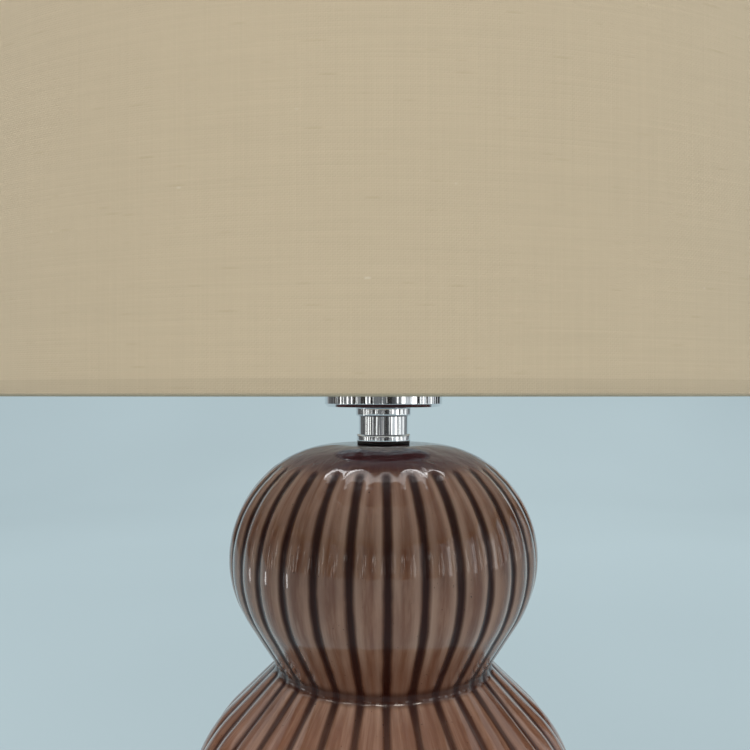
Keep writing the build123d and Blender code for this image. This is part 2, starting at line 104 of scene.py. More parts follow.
class CeramicBodySettings(bpy.types.PropertyGroup):
    """Sizes and glaze of the ribbed ceramic body."""

    rib_count: count("Ribs", "Ribs round the body", 30)
    rib_steps: count("Steps", "Faces across one rib", 14)
    crown_radius: length("Rib crown", "Radius across the crown of a rib", 0.020)
    groove_round: length("Groove rounding", "How far the glaze rounds the bottom of a groove", 0.0014)
    groove_wobble: length("Groove wobble", "How far a hand-cut groove strays sideways", 0.0010)
    pool_width: length("Pooled glaze", "Distance from a groove's line at which the dark glaze ends", 0.0031)
    upper_radius: length("Upper bulb", "Greatest radius of the upper bulb", 0.0706)
    upper_round: length("Upper rounding", "Radius of the upper bulb's side", 0.0505)
    upper_flank: angle("Upper flank", "Slope of the upper bulb's flank above the crease", 32)
    lower_radius: length("Lower bulb", "Greatest radius of the lower bulb", 0.090)
    lower_round: length("Lower rounding", "Radius of the lower bulb's shoulder", 0.0635)
    lower_flank: angle("Lower flank", "Slope of the lower bulb's flank below the crease", 46)
    under_round: length("Under rounding", "Radius of the lower bulb's underside", 0.047)
    bulb_spacing: length("Bulb spacing", "Height between the bulbs' widest levels", 0.1162)
    crease_round: length("Crease", "Radius in the crease between the bulbs", 0.004)
    crease_height: length("Crease height", "Height of the crease between the bulbs", 0.1248)
    smooth_angle: angle("Smooth top", "Angle from the axis at which the ribs run out", 34)
    wall: length("Wall", "Thickness of the ceramic", 0.0065)
    foot_radius: length("Foot", "Radius of the foot ring", 0.0626)
    foot_height: length("Foot height", "Height of the foot ring", 0.0125)
    foot_wall: length("Foot wall", "Thickness of the foot ring", 0.0086)
    foot_edge: length("Foot edge", "Rounding of the foot ring's edges", 0.001)
    foot_step: length("Foot step", "How far the foot ring stands out from the ends of the ribs", 0.0006)
    floor_hole: length("Floor hole", "Radius of the hole in the floor", 0.040)
    rib_colour: colour("Rib glaze", "Glaze where it is thin on the ribs", (118, 79, 59))
    streak_colour: colour("Streaks", "Paler streaks down the ribs", (140, 102, 82))
    # Milky glaze, and a painted reflection of the pale room, along both sides of a groove
    flank_milk_and_sheen_colour: colour("Flanks", "Milky glaze along both sides of a groove", (166, 133, 114))
    # Pooled glaze, also the colour of the painted shade in the crease
    pool_and_crease_shade_colour: colour("Pooled glaze colour", "Glaze where it pools in the grooves", (44, 14, 6))
    top_colour: colour("Top glaze", "Thick glaze on the smooth top", (74, 44, 47))
    bare_colour: colour("Bare foot", "Unglazed ceramic under the foot ring", (203, 190, 172))


class MetalSettings(bpy.types.PropertyGroup):
    """Sizes of the gasket, the turned neck and the cup, and their plating."""

    gasket_edge: length("Gasket edge", "Size of the gasket's eased edges", 0.0003)
    neck_radius: length("Neck", "Radius of the neck's barrel", 0.0115)
    top_bead_radius: length("Top bead", "Radius of the neck's upper bead", 0.01285)
    top_bead_height: length("Top bead height", "Height of the neck's upper bead", 0.0044)
    foot_bead_radius: length("Foot bead", "Radius of the neck's lower bead", 0.0125)
    foot_bead_height: length("Foot bead height", "Height of the neck's lower bead", 0.0038)
    bead_round: length("Bead rounding", "Rounding of the beads' edges", 0.0009)
    cup_wall: length("Cup wall", "Thickness of the drawn cup", 0.0012)
    cup_edge: length("Cup edge", "Size of the cup's bevelled lower edge", 0.0014)
    cup_lip: length("Cup lip", "Rounding of the cup's rim and of its bevel", 0.0004)
    bore: length("Bore", "Radius of the hole for the threaded tube", 0.0053)
    chrome_colour: colour("Chrome", "Polished chrome plate", (228, 230, 232))


class LampholderSettings(bpy.types.PropertyGroup):
    """Sizes of the lampholder, the shade ring and the lamp."""

    sleeve_radius: length("Sleeve", "Radius of the lampholder's sleeve, over its thread", 0.0199)
    sleeve_bore: length("Sleeve bore", "Inner radius of the sleeve", 0.017)
    sleeve_edge: length("Sleeve edge", "Rounding of the sleeve's edges", 0.0004)
    sleeve_pitch: length("Sleeve pitch", "Pitch of the sleeve's outer thread", 0.003)
    sleeve_ridge: length("Sleeve ridge", "Radius of the sleeve's thread ridge", 0.0007)
    flange_height: length("Flange", "Height of the flange that carries the shade", 0.002)
    ring_bore: length("Ring bore", "Inner radius of the shade ring", 0.0202)
    ring_rim: length("Ring rim", "Width of the shade ring's gripped rim", 0.003)
    ring_edge: length("Ring edge", "Rounding of the shade ring's edges", 0.0005)
    grip_count: count("Grips", "Finger grips round the shade ring", 24)
    grip_steps: count("Grip steps", "Faces across one grip and the rim beside it", 16)
    grip_radius: length("Grip", "Radius of a finger grip", 0.0012)
    cap_pitch: length("Lamp pitch", "Pitch of the lamp cap's thread", 0.00362)
    cap_ridge: length("Lamp ridge", "Radius of the lamp cap's thread ridge", 0.0011)
    cap_chamfer: length("Lamp cap chamfer", "Chamfer of the lamp cap's lower edge", 0.0021)
    cap_rim: length("Lamp cap rim", "Height of the plain rim over the lamp cap's thread", 0.003)
    housing_collar: length("Housing collar", "Radius of the lamp's housing over its cap", 0.014)
    glass: length("Glass", "Thickness of the lamp's globe", 0.0012)


class ShadeSettings(bpy.types.PropertyGroup):
    """Linen drum: its cloth, its hems and its liner."""

    cloth_thickness: length("Cloth", "Thickness of the linen", 0.0007)
    hem_round: length("Hem", "Radius of the hem round its wire, to the outside of the cloth", 0.0028)
    hem_leg: length("Hem leg", "Height of the turned-in edge", 0.008)
    fold_round: length("Fold", "Radius of the crisp folds along the hem", 0.0010)
    # The cloth is drawn a little darker over this height beside each hem
    hem_band: length("Hem band", "Height over which the doubled cloth looks denser", 0.003)
    seam_lap: length("Seam lap", "Overlap of the cloth at the back seam", 0.012)
    lap_rise: length("Lap rise", "Length over which the far end of the cloth rises on to its near end", 0.006)
    lap_gap: length("Lap gap", "Gap between the two layers of the lap", 0.0001)
    film_thickness: length("Film", "Thickness of the film liner", 0.0008)
    thread_pitch: length("Thread pitch", "Distance between neighbouring threads", 0.00052)
    linen_colour: colour("Linen", "Colour of the linen threads", (194, 178, 153))
    slub_colour: colour("Slubs", "Thicker, darker threads", (172, 155, 126))
    fleck_colour: colour("Flecks", "Pale flecks of raw fibre", (214, 205, 186))


class StageSettings(bpy.types.PropertyGroup):
    """Camera, backdrop and light."""

    camera_distance: length("Camera distance", "Distance of the camera from the lamp's axis", 0.350)
    camera_height: length("Camera height", "Height of the camera", 0.2475)
    camera_turn: angle("Camera turn", "How far the camera stands round to the left of the front", 1.3)
    backdrop_colour: colour("Backdrop", "Pale backdrop and floor", (181, 200, 207))
    room_light: bpy.props.FloatProperty(
        name="Room light", description="Strength of the even light all round", default=1.0, min=0
    )
    light_colour: colour("Light", "Colour of the key, front and back lights", (255, 247, 236))
    key_power: power("Key", "Power of the large soft light", 8.8)
    front_power: power("Front", "Power of the large light far in front", 15.5)
    top_power: power("Top", "Power of the light above the shade", 13.0)
    ceiling_power: power("Ceiling", "Power of the broad light over the shade's opening", 9.0)
    back_power: power("Back", "Power of the large light behind the lamp", 16.0)
    left_power: power("Left window", "Power of the small window that shows in the glaze", 0.072)
    right_power: power("Right window", "Power of the upright window on the right", 0.8)


class LampSettings(bpy.types.PropertyGroup):
    """All settings of the table lamp."""

    body: bpy.props.PointerProperty(type=CeramicBodySettings)
    metal: bpy.props.PointerProperty(type=MetalSettings)
    holder: bpy.props.PointerProperty(type=LampholderSettings)
    shade: bpy.props.PointerProperty(type=ShadeSettings)
    stage: bpy.props.PointerProperty(type=StageSettings)


# Node trees

def socket(sockets, name):
    """The socket of that name that is in use for the node's present data type."""
    return next(s for s in sockets if s.name == name and s.enabled)


def arithmetic(operation):
    """Operator methods, plain and reflected, that add one kind of math node."""

    def plain(signal, other):
        return signal.wiring.math(operation, signal, other)

    def reflected(signal, other):
        return signal.wiring.math(operation, other, signal)

    return plain, reflected


class Signal:
    """Output of a node. Sums and products of signals add math nodes to their tree."""

    __add__, __radd__ = arithmetic("ADD")
    __sub__, __rsub__ = arithmetic("SUBTRACT")
    __mul__, __rmul__ = arithmetic("MULTIPLY")
    __truediv__, __rtruediv__ = arithmetic("DIVIDE")
    __mod__, __rmod__ = arithmetic("FLOORED_MODULO")

    def __init__(self, wiring, out):
        self.wiring = wiring
        self.out = out

    def __abs__(self):
        return self.wiring.math("ABSOLUTE", self)


class Wiring:
    """Adds nodes to one tree and joins their sockets."""

    def __init__(self, tree):
        self.tree = tree

    def join(self, target, value):
        """Link a signal to an input, or set the input to a plain value."""
        if isinstance(value, Signal):
            self.tree.links.new(value.out, target)
            return
        is_vector = hasattr(value, "__len__") and not isinstance(value, str)
        if is_vector and len(target.default_value) > len(value):
            value = (*value, 1.0)
        target.default_value = value

    def feed(self, node, inputs):
        """Join values to a node's inputs, each given by its name or its number."""
        for key, value in inputs.items():
            self.join(node.inputs[key] if isinstance(key, int) else socket(node.inputs, key), value)

    def add(self, kind, inputs=None, **settings):
        """New node with its settings and inputs."""
        node = self.tree.nodes.new(kind)
        for key, value in settings.items():
            setattr(node, key, value)
        self.feed(node, inputs or {})
        return node

    def out(self, kind, inputs=None, output=0, **settings):
        """Output of a new node, by its name or its number."""
        outputs = self.add(kind, inputs, **settings).outputs
        return Signal(self, outputs[output] if isinstance(output, int) else socket(outputs, output))

    def group(self, tree, inputs):
        """Outputs of a node group, by name."""
        node = self.add("ShaderNodeGroup", inputs, node_tree=tree)
        return {out.name: Signal(self, out) for out in node.outputs}

    def math(self, operation, *values, clamp=False):
        return self.out("ShaderNodeMath", dict(enumerate(values)), operation=operation, use_clamp=clamp)

    def chord(self, radius, distance):
        """Height of a circle over its centre at a distance from it, and nothing beyond the circle."""
        return self.math("SQRT", self.math("MAXIMUM", radius * radius - distance * distance, 0.0))

    def blend(self, factor, first, second):
        """Mix of two colours."""
        inputs = {0: factor, 6: first, 7: second}
        return self.out("ShaderNodeMix", inputs, 2, data_type="RGBA", clamp_factor=True)

    def ramp(self, value, low, high, start=0.0, end=1.0):
        """Smooth step of a value from one range to another."""
        inputs = dict(enumerate((value, low, high, start, end)))
        return self.out("ShaderNodeMapRange", inputs, interpolation_type="SMOOTHSTEP")

    def noise(self, vector, scale, detail=2.0, roughness=0.5):
        inputs = {"Vector": vector, "Scale": scale, "Detail": detail, "Roughness": roughness}
        return self.out("ShaderNodeTexNoise", inputs)

    def vector(self, x, y, z):
        return self.out("ShaderNodeCombineXYZ", {0: x, 1: y, 2: z})

    def parts(self, vector):
        """The three parts of a vector."""
        return [Signal(self, out) for out in self.add("ShaderNodeSeparateXYZ", {0: vector}).outputs]

    def scale(self, vector, factor):
        """A vector or colour times a factor."""
        return self.out("ShaderNodeVectorMath", {0: vector, "Scale": factor}, operation="SCALE")

    def bump(self, height, strength, distance):
        """Normal of a surface with a fine relief."""
        return self.out("ShaderNodeBump", {"Height": height, "Strength": strength, "Distance": distance})

    def object_place(self):
        return self.out("ShaderNodeTexCoord", output="Object")

    def attribute(self, name):
        return self.out("ShaderNodeAttribute", output="Fac", attribute_name=name)


def floats(*labels):
    """Named number sockets."""
    return dict.fromkeys(labels, "Float")


def new_tree(name, kind, ins, outs):
    """Empty node tree with named sockets, its wiring, its inputs as signals and its output node."""
    tree = bpy.data.node_groups.new(name, kind)
    for direction, sockets in (("INPUT", ins), ("OUTPUT", outs)):
        for label, data in sockets.items():
            tree.interface.new_socket(name=label, in_out=direction, socket_type=f"NodeSocket{data}")
    w = Wiring(tree)
    source = w.add("NodeGroupInput")
    given = {label: Signal(w, source.outputs[label]) for label in ins}
    return tree, w, given, w.add("NodeGroupOutput")


def geometry_tree(name, ins):
    """Empty geometry tree with named inputs and a material."""
    ins = {**ins, "Material": "Material"}
    tree, w, given, result = new_tree(name, "GeometryNodeTree", ins, {"Geometry": "Geometry"})
    tree.is_modifier = True
    return tree, w, given, result


def end_tree(w, mesh, given, result):
    """Make a tree's geometry real and give it its material."""
    mesh = w.out("GeometryNodeRealizeInstances", {"Geometry": mesh})
    mesh = w.out("GeometryNodeSetMaterial", {"Geometry": mesh, "Material": given["Material"]})
    w.feed(result, {"Geometry": mesh})


def profile_grid(w, profile, parts, steps):
    """Grid on which a closed profile is turned: a row for each point, and columns for each part of a turn.

    Returns the grid, the turn as a number of parts, and a function that reads a field along the profile.
    """
    line = w.out("GeometryNodeObjectInfo", {"Object": profile}, "Geometry")
    points = w.out("GeometryNodeAttributeDomainSize", {"Geometry": line}, "Point Count", component="CURVE")
    rows = points + 1.0
    grid = w.out("GeometryNodeMeshGrid", {"Vertices X": parts * steps + 1.0, "Vertices Y": rows})
    index = w.out("GeometryNodeInputIndex")
    column = w.math("FLOOR", (index + 0.5) / rows)
    row = w.math("ROUND", index - column * rows) % points

    def along(kind, data):
        inputs = {"Geometry": line, "Value": w.out(kind), "Index": row}
        return w.out("GeometryNodeSampleIndex", inputs, "Value", data_type=data, domain="POINT")

    return grid, column / steps, along


def turned_grid(w, grid, r, z, turn):
    """Grid with its points at a radius, a height and a turn, closed where its edges meet."""
    inputs = {"Vector": w.vector(r, 0.0, z), "Angle": turn}
    place = w.out("ShaderNodeVectorRotate", inputs, rotation_type="Z_AXIS")
    mesh = w.out("GeometryNodeSetPosition", {"Geometry": grid, "Position": place})
    return w.out("GeometryNodeMergeByDistance", {"Geometry": mesh, "Distance": 1e-6})


# Materials

def surface_variation():
    """Shader group: slight mottling of tone and gloss, and a fine surface grain."""
    name = "surface_variation"
    if name in bpy.data.node_groups:
        return bpy.data.node_groups[name]
    tree, w, given, result = new_tree(
        name,
        "ShaderNodeTree",
        {"Color": "Color", **floats("Mottle", "Mottle Scale", "Roughness", "Gloss Variation", "Grain Scale")},
        {"Color": "Color", **floats("Roughness", "Height")},
    )
    place = w.object_place()
    mottle = w.noise(place, given["Mottle Scale"], 3.0)
    grain = w.noise(place, given["Grain Scale"], 4.0, 0.6)
    lift = (mottle - 0.5) * given["Mottle"] * 2.0 + 1.0
    swing = mottle + grain - 1.0
    rough = w.math("MULTIPLY_ADD", swing, given["Gloss Variation"], given["Roughness"], clamp=True)
    w.feed(result, {"Color": w.scale(given["Color"], lift), "Roughness": rough, "Height": grain})
    return tree


def rubbed_lines():
    """Shader group: faint turning and polishing marks that run round the lamp's axis."""
    name = "rubbed_lines"
    if name in bpy.data.node_groups:
        return bpy.data.node_groups[name]
    tree, w, given, result = new_tree(
        name, "ShaderNodeTree", floats("Roughness", "Depth", "Line Scale"), floats("Roughness", "Height")
    )
    place = w.object_place()
    x, y, z = w.parts(place)
    reach = w.math("SQRT", x * x + y * y)
    lines = w.noise(w.vector(reach, x * 0.02, z), given["Line Scale"], 3.0, 0.6)
    worn = w.ramp(w.noise(place, 90.0, 3.0, 0.6), 0.45, 0.75)
    swing = lines - 0.5 + worn
    rough = w.math("MULTIPLY_ADD", swing, given["Depth"], given["Roughness"], clamp=True)
    w.feed(result, {"Roughness": rough, "Height": lines})
    return tree


def emptied(data):
    """Wiring of a material's or a world's own tree, emptied."""
    data.use_nodes = True
    data.node_tree.nodes.clear()
    return Wiring(data.node_tree)


def new_material(name, fixed=None):
    """Material with a principled shader, some of whose inputs are fixed, its wiring and the shader."""
    material = bpy.data.materials.new(name)
    w = emptied(material)
    shader = w.add("ShaderNodeBsdfPrincipled", fixed)
    w.add("ShaderNodeOutputMaterial", {"Surface": Signal(w, shader.outputs[0])})
    return material, w, shader


def finish(
    name, base, roughness, mottle=0.04, mottle_scale=60.0, gloss=0.06, grain=900.0, bump=0.05, fixed=None
):
    """Material whose tone, gloss and surface vary a little over the piece."""
    if name in bpy.data.materials:
        return bpy.data.materials[name]
    material, w, shader = new_material(name, fixed)
    look = w.group(
        surface_variation(),
        {
            "Color": base,
            "Mottle": mottle,
            "Mottle Scale": mottle_scale,
            "Roughness": roughness,
            "Gloss Variation": gloss,
            "Grain Scale": grain,
        },
    )
    relief = w.bump(look["Height"], bump, 0.0004)
    w.feed(shader, {"Base Color": look["Color"], "Roughness": look["Roughness"], "Normal": relief})
    return material


def metal(name, base, roughness, depth=0.05, line_scale=900.0, bump=0.01, mottle=0.02):
    """Metal with faint turning marks round the axis."""
    if name in bpy.data.materials:
        return bpy.data.materials[name]
    material, w, shader = new_material(name, {"Metallic": 1.0})
    marks = w.group(rubbed_lines(), {"Roughness": roughness, "Depth": depth, "Line Scale": line_scale})
    tint = w.group(surface_variation(), {"Color": base, "Mottle": mottle, "Mottle Scale": 120.0})
    relief = w.bump(marks["Height"], bump, 0.0002)
    w.feed(shader, {"Base Color": tint["Color"], "Roughness": marks["Roughness"], "Normal": relief})
    return material


def chrome():
    """Polished chrome plate of the neck and the cup."""
    return metal("chrome_plate", bpy.context.scene.lamp.metal.chrome_colour, 0.05, depth=0.04)


def steel():
    """Zinc-plated steel of nuts, washer, plate and tube."""
    return metal(
        "zinc_plated_steel", tone(196, 197, 196), 0.34, depth=0.18, line_scale=700.0, bump=0.06, mottle=0.08
    )


def brass():
    """Plain brass of the lampholder's contacts."""
    return metal(
        "plain_brass", tone(214, 178, 106), 0.28, depth=0.14, line_scale=800.0, bump=0.04, mottle=0.06
    )


def nickel():
    """Nickel plate of the lamp's cap."""
    return metal("nickel_plate", tone(206, 203, 196), 0.24, depth=0.12, bump=0.03, mottle=0.05)


def holder_plastic():
    """Black moulded plastic of the lampholder."""
    return finish("lampholder_plastic", tone(38, 37, 37), 0.42, mottle=0.08, grain=2200.0, bump=0.08)


def black_rubber():
    """Soft black rubber of gasket and cord inlet."""
    return finish("black_rubber", tone(30, 29, 29), 0.62, mottle=0.10, gloss=0.10, grain=1600.0, bump=0.10)


def black_felt():
    """Dense black felt under the foot."""
    return finish(
        "black_felt",
        tone(44, 43, 45),
        0.95,
        mottle=0.30,
        mottle_scale=900.0,
        grain=1500.0,
        bump=0.9,
        fixed={"Sheen Weight": 0.3},
    )


def white_porcelain():
    """Unglazed porcelain of the lampholder's core."""
    return finish("white_porcelain", tone(236, 233, 224), 0.5, mottle=0.05, bump=0.08)


def black_glass():
    """Black glass of the lamp's insulator."""
    return finish("black_glass", tone(26, 26, 28), 0.16, mottle=0.04, bump=0.02)


def housing_white():
    """White moulded plastic of the lamp's housing."""
    return finish("lamp_housing_white", tone(236, 235, 230), 0.36, mottle=0.02, grain=2400.0, bump=0.05)


def frosted_glass():
    """Frosted opal glass of the lamp's globe."""
    return finish(
        "frosted_globe",
        tone(246, 243, 234),
        0.38,
        mottle=0.015,
        mottle_scale=30.0,
        bump=0.03,
        fixed={"Subsurface Weight": 0.25, "Subsurface Scale": 0.004},
    )


def white_coat():
    """White powder coat of the shade's wire carrier."""
    return finish("white_powder_coat", tone(232, 231, 226), 0.46, mottle=0.03, grain=2600.0, bump=0.12)


def white_film():
    """Off-white film behind the linen; its grey is partly painted shade of the drum's dim inside."""
    return finish(
        "white_film", tone(208, 206, 201), 0.5, mottle=0.03, mottle_scale=25.0, grain=1800.0, bump=0.06
    )


# Meshes

def arc(centre, radius, start, end, steps):
    """Points along an arc of a meridian, its angles in radians from the outward direction."""
    turns = [start + (end - start) * i / steps for i in range(steps + 1)]
    return [(centre[0] + radius * cos(turn), centre[1] + radius * sin(turn)) for turn in turns]


def run(first, last, steps):
    """Points along a straight stretch of a meridian, without its ends."""
    (r0, z0), (r1, z1) = first, last
    return [(r0 + (r1 - r0) * i / steps, z0 + (z1 - z0) * i / steps) for i in range(1, steps)]


def rim(radius, low, high, edge, steps, rows=1):
    """Points up a rim with rounded edges, and with some rows between them."""
    return (
        arc((radius - edge, low + edge), edge, -pi / 2, 0, steps)
        + run((radius, low + edge), (radius, high - edge), rows)
        + arc((radius - edge, high - edge), edge, 0, pi / 2, steps)
    )


def eased(share):
    """Smooth step from 0 to 1."""
    share = min(max(share, 0), 1)
    return share * share * (3 - 2 * share)


def linked(name, data):
    """New object in the scene."""
    obj = bpy.data.objects.new(name, data)
    bpy.context.scene.collection.objects.link(obj)
    return obj


def mesh_of(name, shell):
    """Mesh of a finished bmesh."""
    mesh = bpy.data.meshes.new(name)
    shell.to_mesh(mesh)
    shell.free()
    return mesh


def plain_mesh(maker):
    """Mesh of an object with its modifiers applied. The object itself is removed."""
    graph = bpy.context.evaluated_depsgraph_get()
    mesh = bpy.data.meshes.new_from_object(
        maker.evaluated_get(graph), preserve_all_data_layers=True, depsgraph=graph
    )
    bpy.data.objects.remove(maker)
    return mesh


def made_by_nodes(tree, name, values):
    """Plain mesh of a geometry tree with its named inputs set."""
    maker = linked(name, bpy.data.meshes.new(name))
    modifier = maker.modifiers.new(tree.name, "NODES")
    modifier.node_group = tree
    keys = {s.name: s.identifier for s in tree.interface.items_tree if s.in_out == "INPUT"}
    for label, value in values.items():
        modifier[keys[label]] = value
    mesh = plain_mesh(maker)
    if not mesh.polygons:
        raise RuntimeError(f"{name} has no faces")
    return mesh


def turned_by_nodes(tree, name, points, values):
    """Plain mesh of a tree that turns a closed profile, whose points have a radius, a height and a weight."""
    curve = bpy.data.curves.new(name, "CURVE")
    curve.dimensions = "3D"
    spline = curve.splines.new("POLY")
    spline.points.add(len(points) - 1)
    for spot, (r, z, weight) in zip(spline.points, points):
        spot.co = (r, 0, z, 1)
        spot.radius = weight
    spline.use_cyclic_u = True
    guide = linked(f"{name}_profile", curve)
    mesh = made_by_nodes(tree, name, {"Profile": guide, **values})
    bpy.data.objects.remove(guide)
    shell = bmesh.new()
    shell.from_mesh(mesh)
    bmesh.ops.recalc_face_normals(shell, faces=shell.faces)
    shell.to_mesh(mesh)
    shell.free()
    return mesh


def turned(name, outline, steps=128):
    """Closed mesh of an outline of radius and height points, turned about the lamp's axis."""
    shell = bmesh.new()
    rings = []
    for step in range(steps):
        turn = 2 * pi * step / steps
        rings.append([shell.verts.new((r * cos(turn), r * sin(turn), z)) for r, z in outline])
    for here, there in zip(rings, rings[1:] + rings[:1]):
        for i in range(len(outline)):
            shell.faces.new((here[i - 1], here[i], there[i], there[i - 1]))
    bmesh.ops.remove_doubles(shell, verts=shell.verts, dist=1e-7)
    bmesh.ops.dissolve_degenerate(shell, dist=1e-7, edges=shell.edges)
    bmesh.ops.recalc_face_normals(shell, faces=shell.faces)
    return mesh_of(name, shell)


def joined(name, *meshes):
    """One mesh out of several."""
    shell = bmesh.new()
    for mesh in meshes:
        shell.from_mesh(mesh)
        bpy.data.meshes.remove(mesh)
    return mesh_of(name, shell)


def dress(obj, material, soft_angle=35):
    """Smooth shading with crisp corners, and one material."""
    obj.data.polygons.foreach_set("use_smooth", [True] * len(obj.data.polygons))
    obj.data.set_sharp_from_angle(angle=radians(soft_angle))
    obj.data.materials.clear()
    obj.data.materials.append(material)


def piece(name, mesh, body, node, material):
    """Finished piece of the lamp: dressed, and tied to its body and the node that it replaces."""
    obj = linked(name, mesh)
    dress(obj, material)
    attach(obj, body)
    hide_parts(node)
    return obj


def turned_piece(name, outline, body, node, material, steps=128):
    """Finished piece turned from an outline."""
    return piece(name, turned(name, outline, steps), body, node, material)


def keep_nodes(material, *nodes):
    """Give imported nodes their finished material."""
    for node in nodes:
        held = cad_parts[node].data.materials
        if held:
            for i in range(len(held)):
                held[i] = material
        else:
            held.append(material)


# Ribbed ceramic body

def body_profile(p):
    """The ceramic's closed meridian in radius, height and rib strength, down the outside and up inside."""
    low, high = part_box("ceramic_body")
    bore = bpy.context.scene.lamp.metal.bore
    floor_z = low.z + p.foot_height
    rib_end_r = p.foot_radius - p.foot_step
    under_r = p.lower_radius - p.under_round
    lower_z = floor_z + sqrt(p.under_round**2 - (rib_end_r - under_r) ** 2)
    under = (under_r, lower_z)
    lower = (p.lower_radius - p.lower_round, lower_z)
    upper = (p.upper_radius - p.upper_round, lower_z + p.bulb_spacing)
    dome = high.z - upper[1]

    # Corner in which the flanks meet, and the tangent points of its rounding
    top_tangent = (-sin(p.upper_flank), -cos(p.upper_flank))
    low_tangent = (sin(p.lower_flank), -cos(p.lower_flank))
    flank_top = arc(upper, p.upper_round, -p.upper_flank, 0, 1)[0]
    flank_foot = arc(lower, p.lower_round, p.lower_flank, 0, 1)[0]
    cross = top_tangent[0] * low_tangent[1] - top_tangent[1] * low_tangent[0]
    gap = (flank_foot[0] - flank_top[0], flank_foot[1] - flank_top[1])
    reach = (gap[0] * low_tangent[1] - gap[1] * low_tangent[0]) / cross
    corner = (flank_top[0] + top_tangent[0] * reach, flank_top[1] + top_tangent[1] * reach)
    turn = p.upper_flank + p.lower_flank
    setback = p.crease_round * tan(turn / 2)
    crease_start = (corner[0] - top_tangent[0] * setback, corner[1] - top_tangent[1] * setback)
    crease = (
        crease_start[0] - top_tangent[1] * p.crease_round,
        crease_start[1] + top_tangent[0] * p.crease_round,
    )
    crease_in = pi - p.upper_flank

    # The flatter dome passes over into the side between these two angles from the axis
    dome_end, side_start = radians(40), radians(42)
    outside = [(bore, high.z)] + run((bore, high.z), (upper[0], high.z), 4)
    outside += arc(upper, dome, pi / 2, pi / 2 - dome_end, 50)
    outside += arc(upper, p.upper_round, pi / 2 - side_start, -p.upper_flank, 46)
    outside += run(outside[-1], crease_start, 6)
    outside += arc(crease, p.crease_round, crease_in, crease_in + turn, 16)
    outside += run(outside[-1], flank_foot, 6)
    outside += arc(lower, p.lower_round, p.lower_flank, 0, 24)
    rib_end = atan2(floor_z - lower_z, rib_end_r - under_r)
    outside += arc(under, p.under_round, 0, rib_end, 34)[1:]

    # Height above the foot ring over which the ribs fall to half their depth
    rib_fade = 0.004
    edge = p.foot_edge
    foot_r, recess = p.foot_radius, p.foot_radius - p.foot_wall
    foot = [(foot_r, z) for z in (floor_z - p.foot_step, floor_z - rib_fade, low.z + edge)]
    foot += arc((foot_r - edge, low.z + edge), edge, 0, -pi / 2, 5)[1:]
    foot += [(recess + edge, low.z), (recess, low.z + edge), (recess, floor_z), (p.floor_hole, floor_z)]
    foot += [(p.floor_hole, floor_z + p.wall)]

    floor_edge = 0.006
    throat = p.wall / cos(turn / 2)
    bisect = (p.upper_flank - p.lower_flank) / 2
    inside = [(foot_r - floor_edge, floor_z + p.wall)]
    inside += arc(under, p.under_round - p.wall, rib_end * 0.8, 0, 6)
    inside += arc(lower, p.lower_round - p.wall, 0, p.lower_flank, 6)[1:]
    inside += [(corner[0] - throat * cos(bisect), corner[1] + throat * sin(bisect))]
    inside += arc(upper, p.upper_round - p.wall, -p.upper_flank, pi / 2, 10)
    inside += [(bore, upper[1] + p.upper_round - p.wall)]

    def rib_strength(r, z):
        """Full along the body, none on the smooth top and half at the foot."""
        if z > upper[1]:
            before, sweep = radians(2.5), radians(6)
            tilt = atan2(r - upper[0], z - upper[1])
            return eased((tilt - p.smooth_angle + before) / sweep)
        return 1.0 - 0.5 * min(max((floor_z + rib_fade - z) / rib_fade, 0), 1)

    return [(r, z, rib_strength(r, z)) for r, z in outside] + [(r, z, 0.0) for r, z in foot + inside]


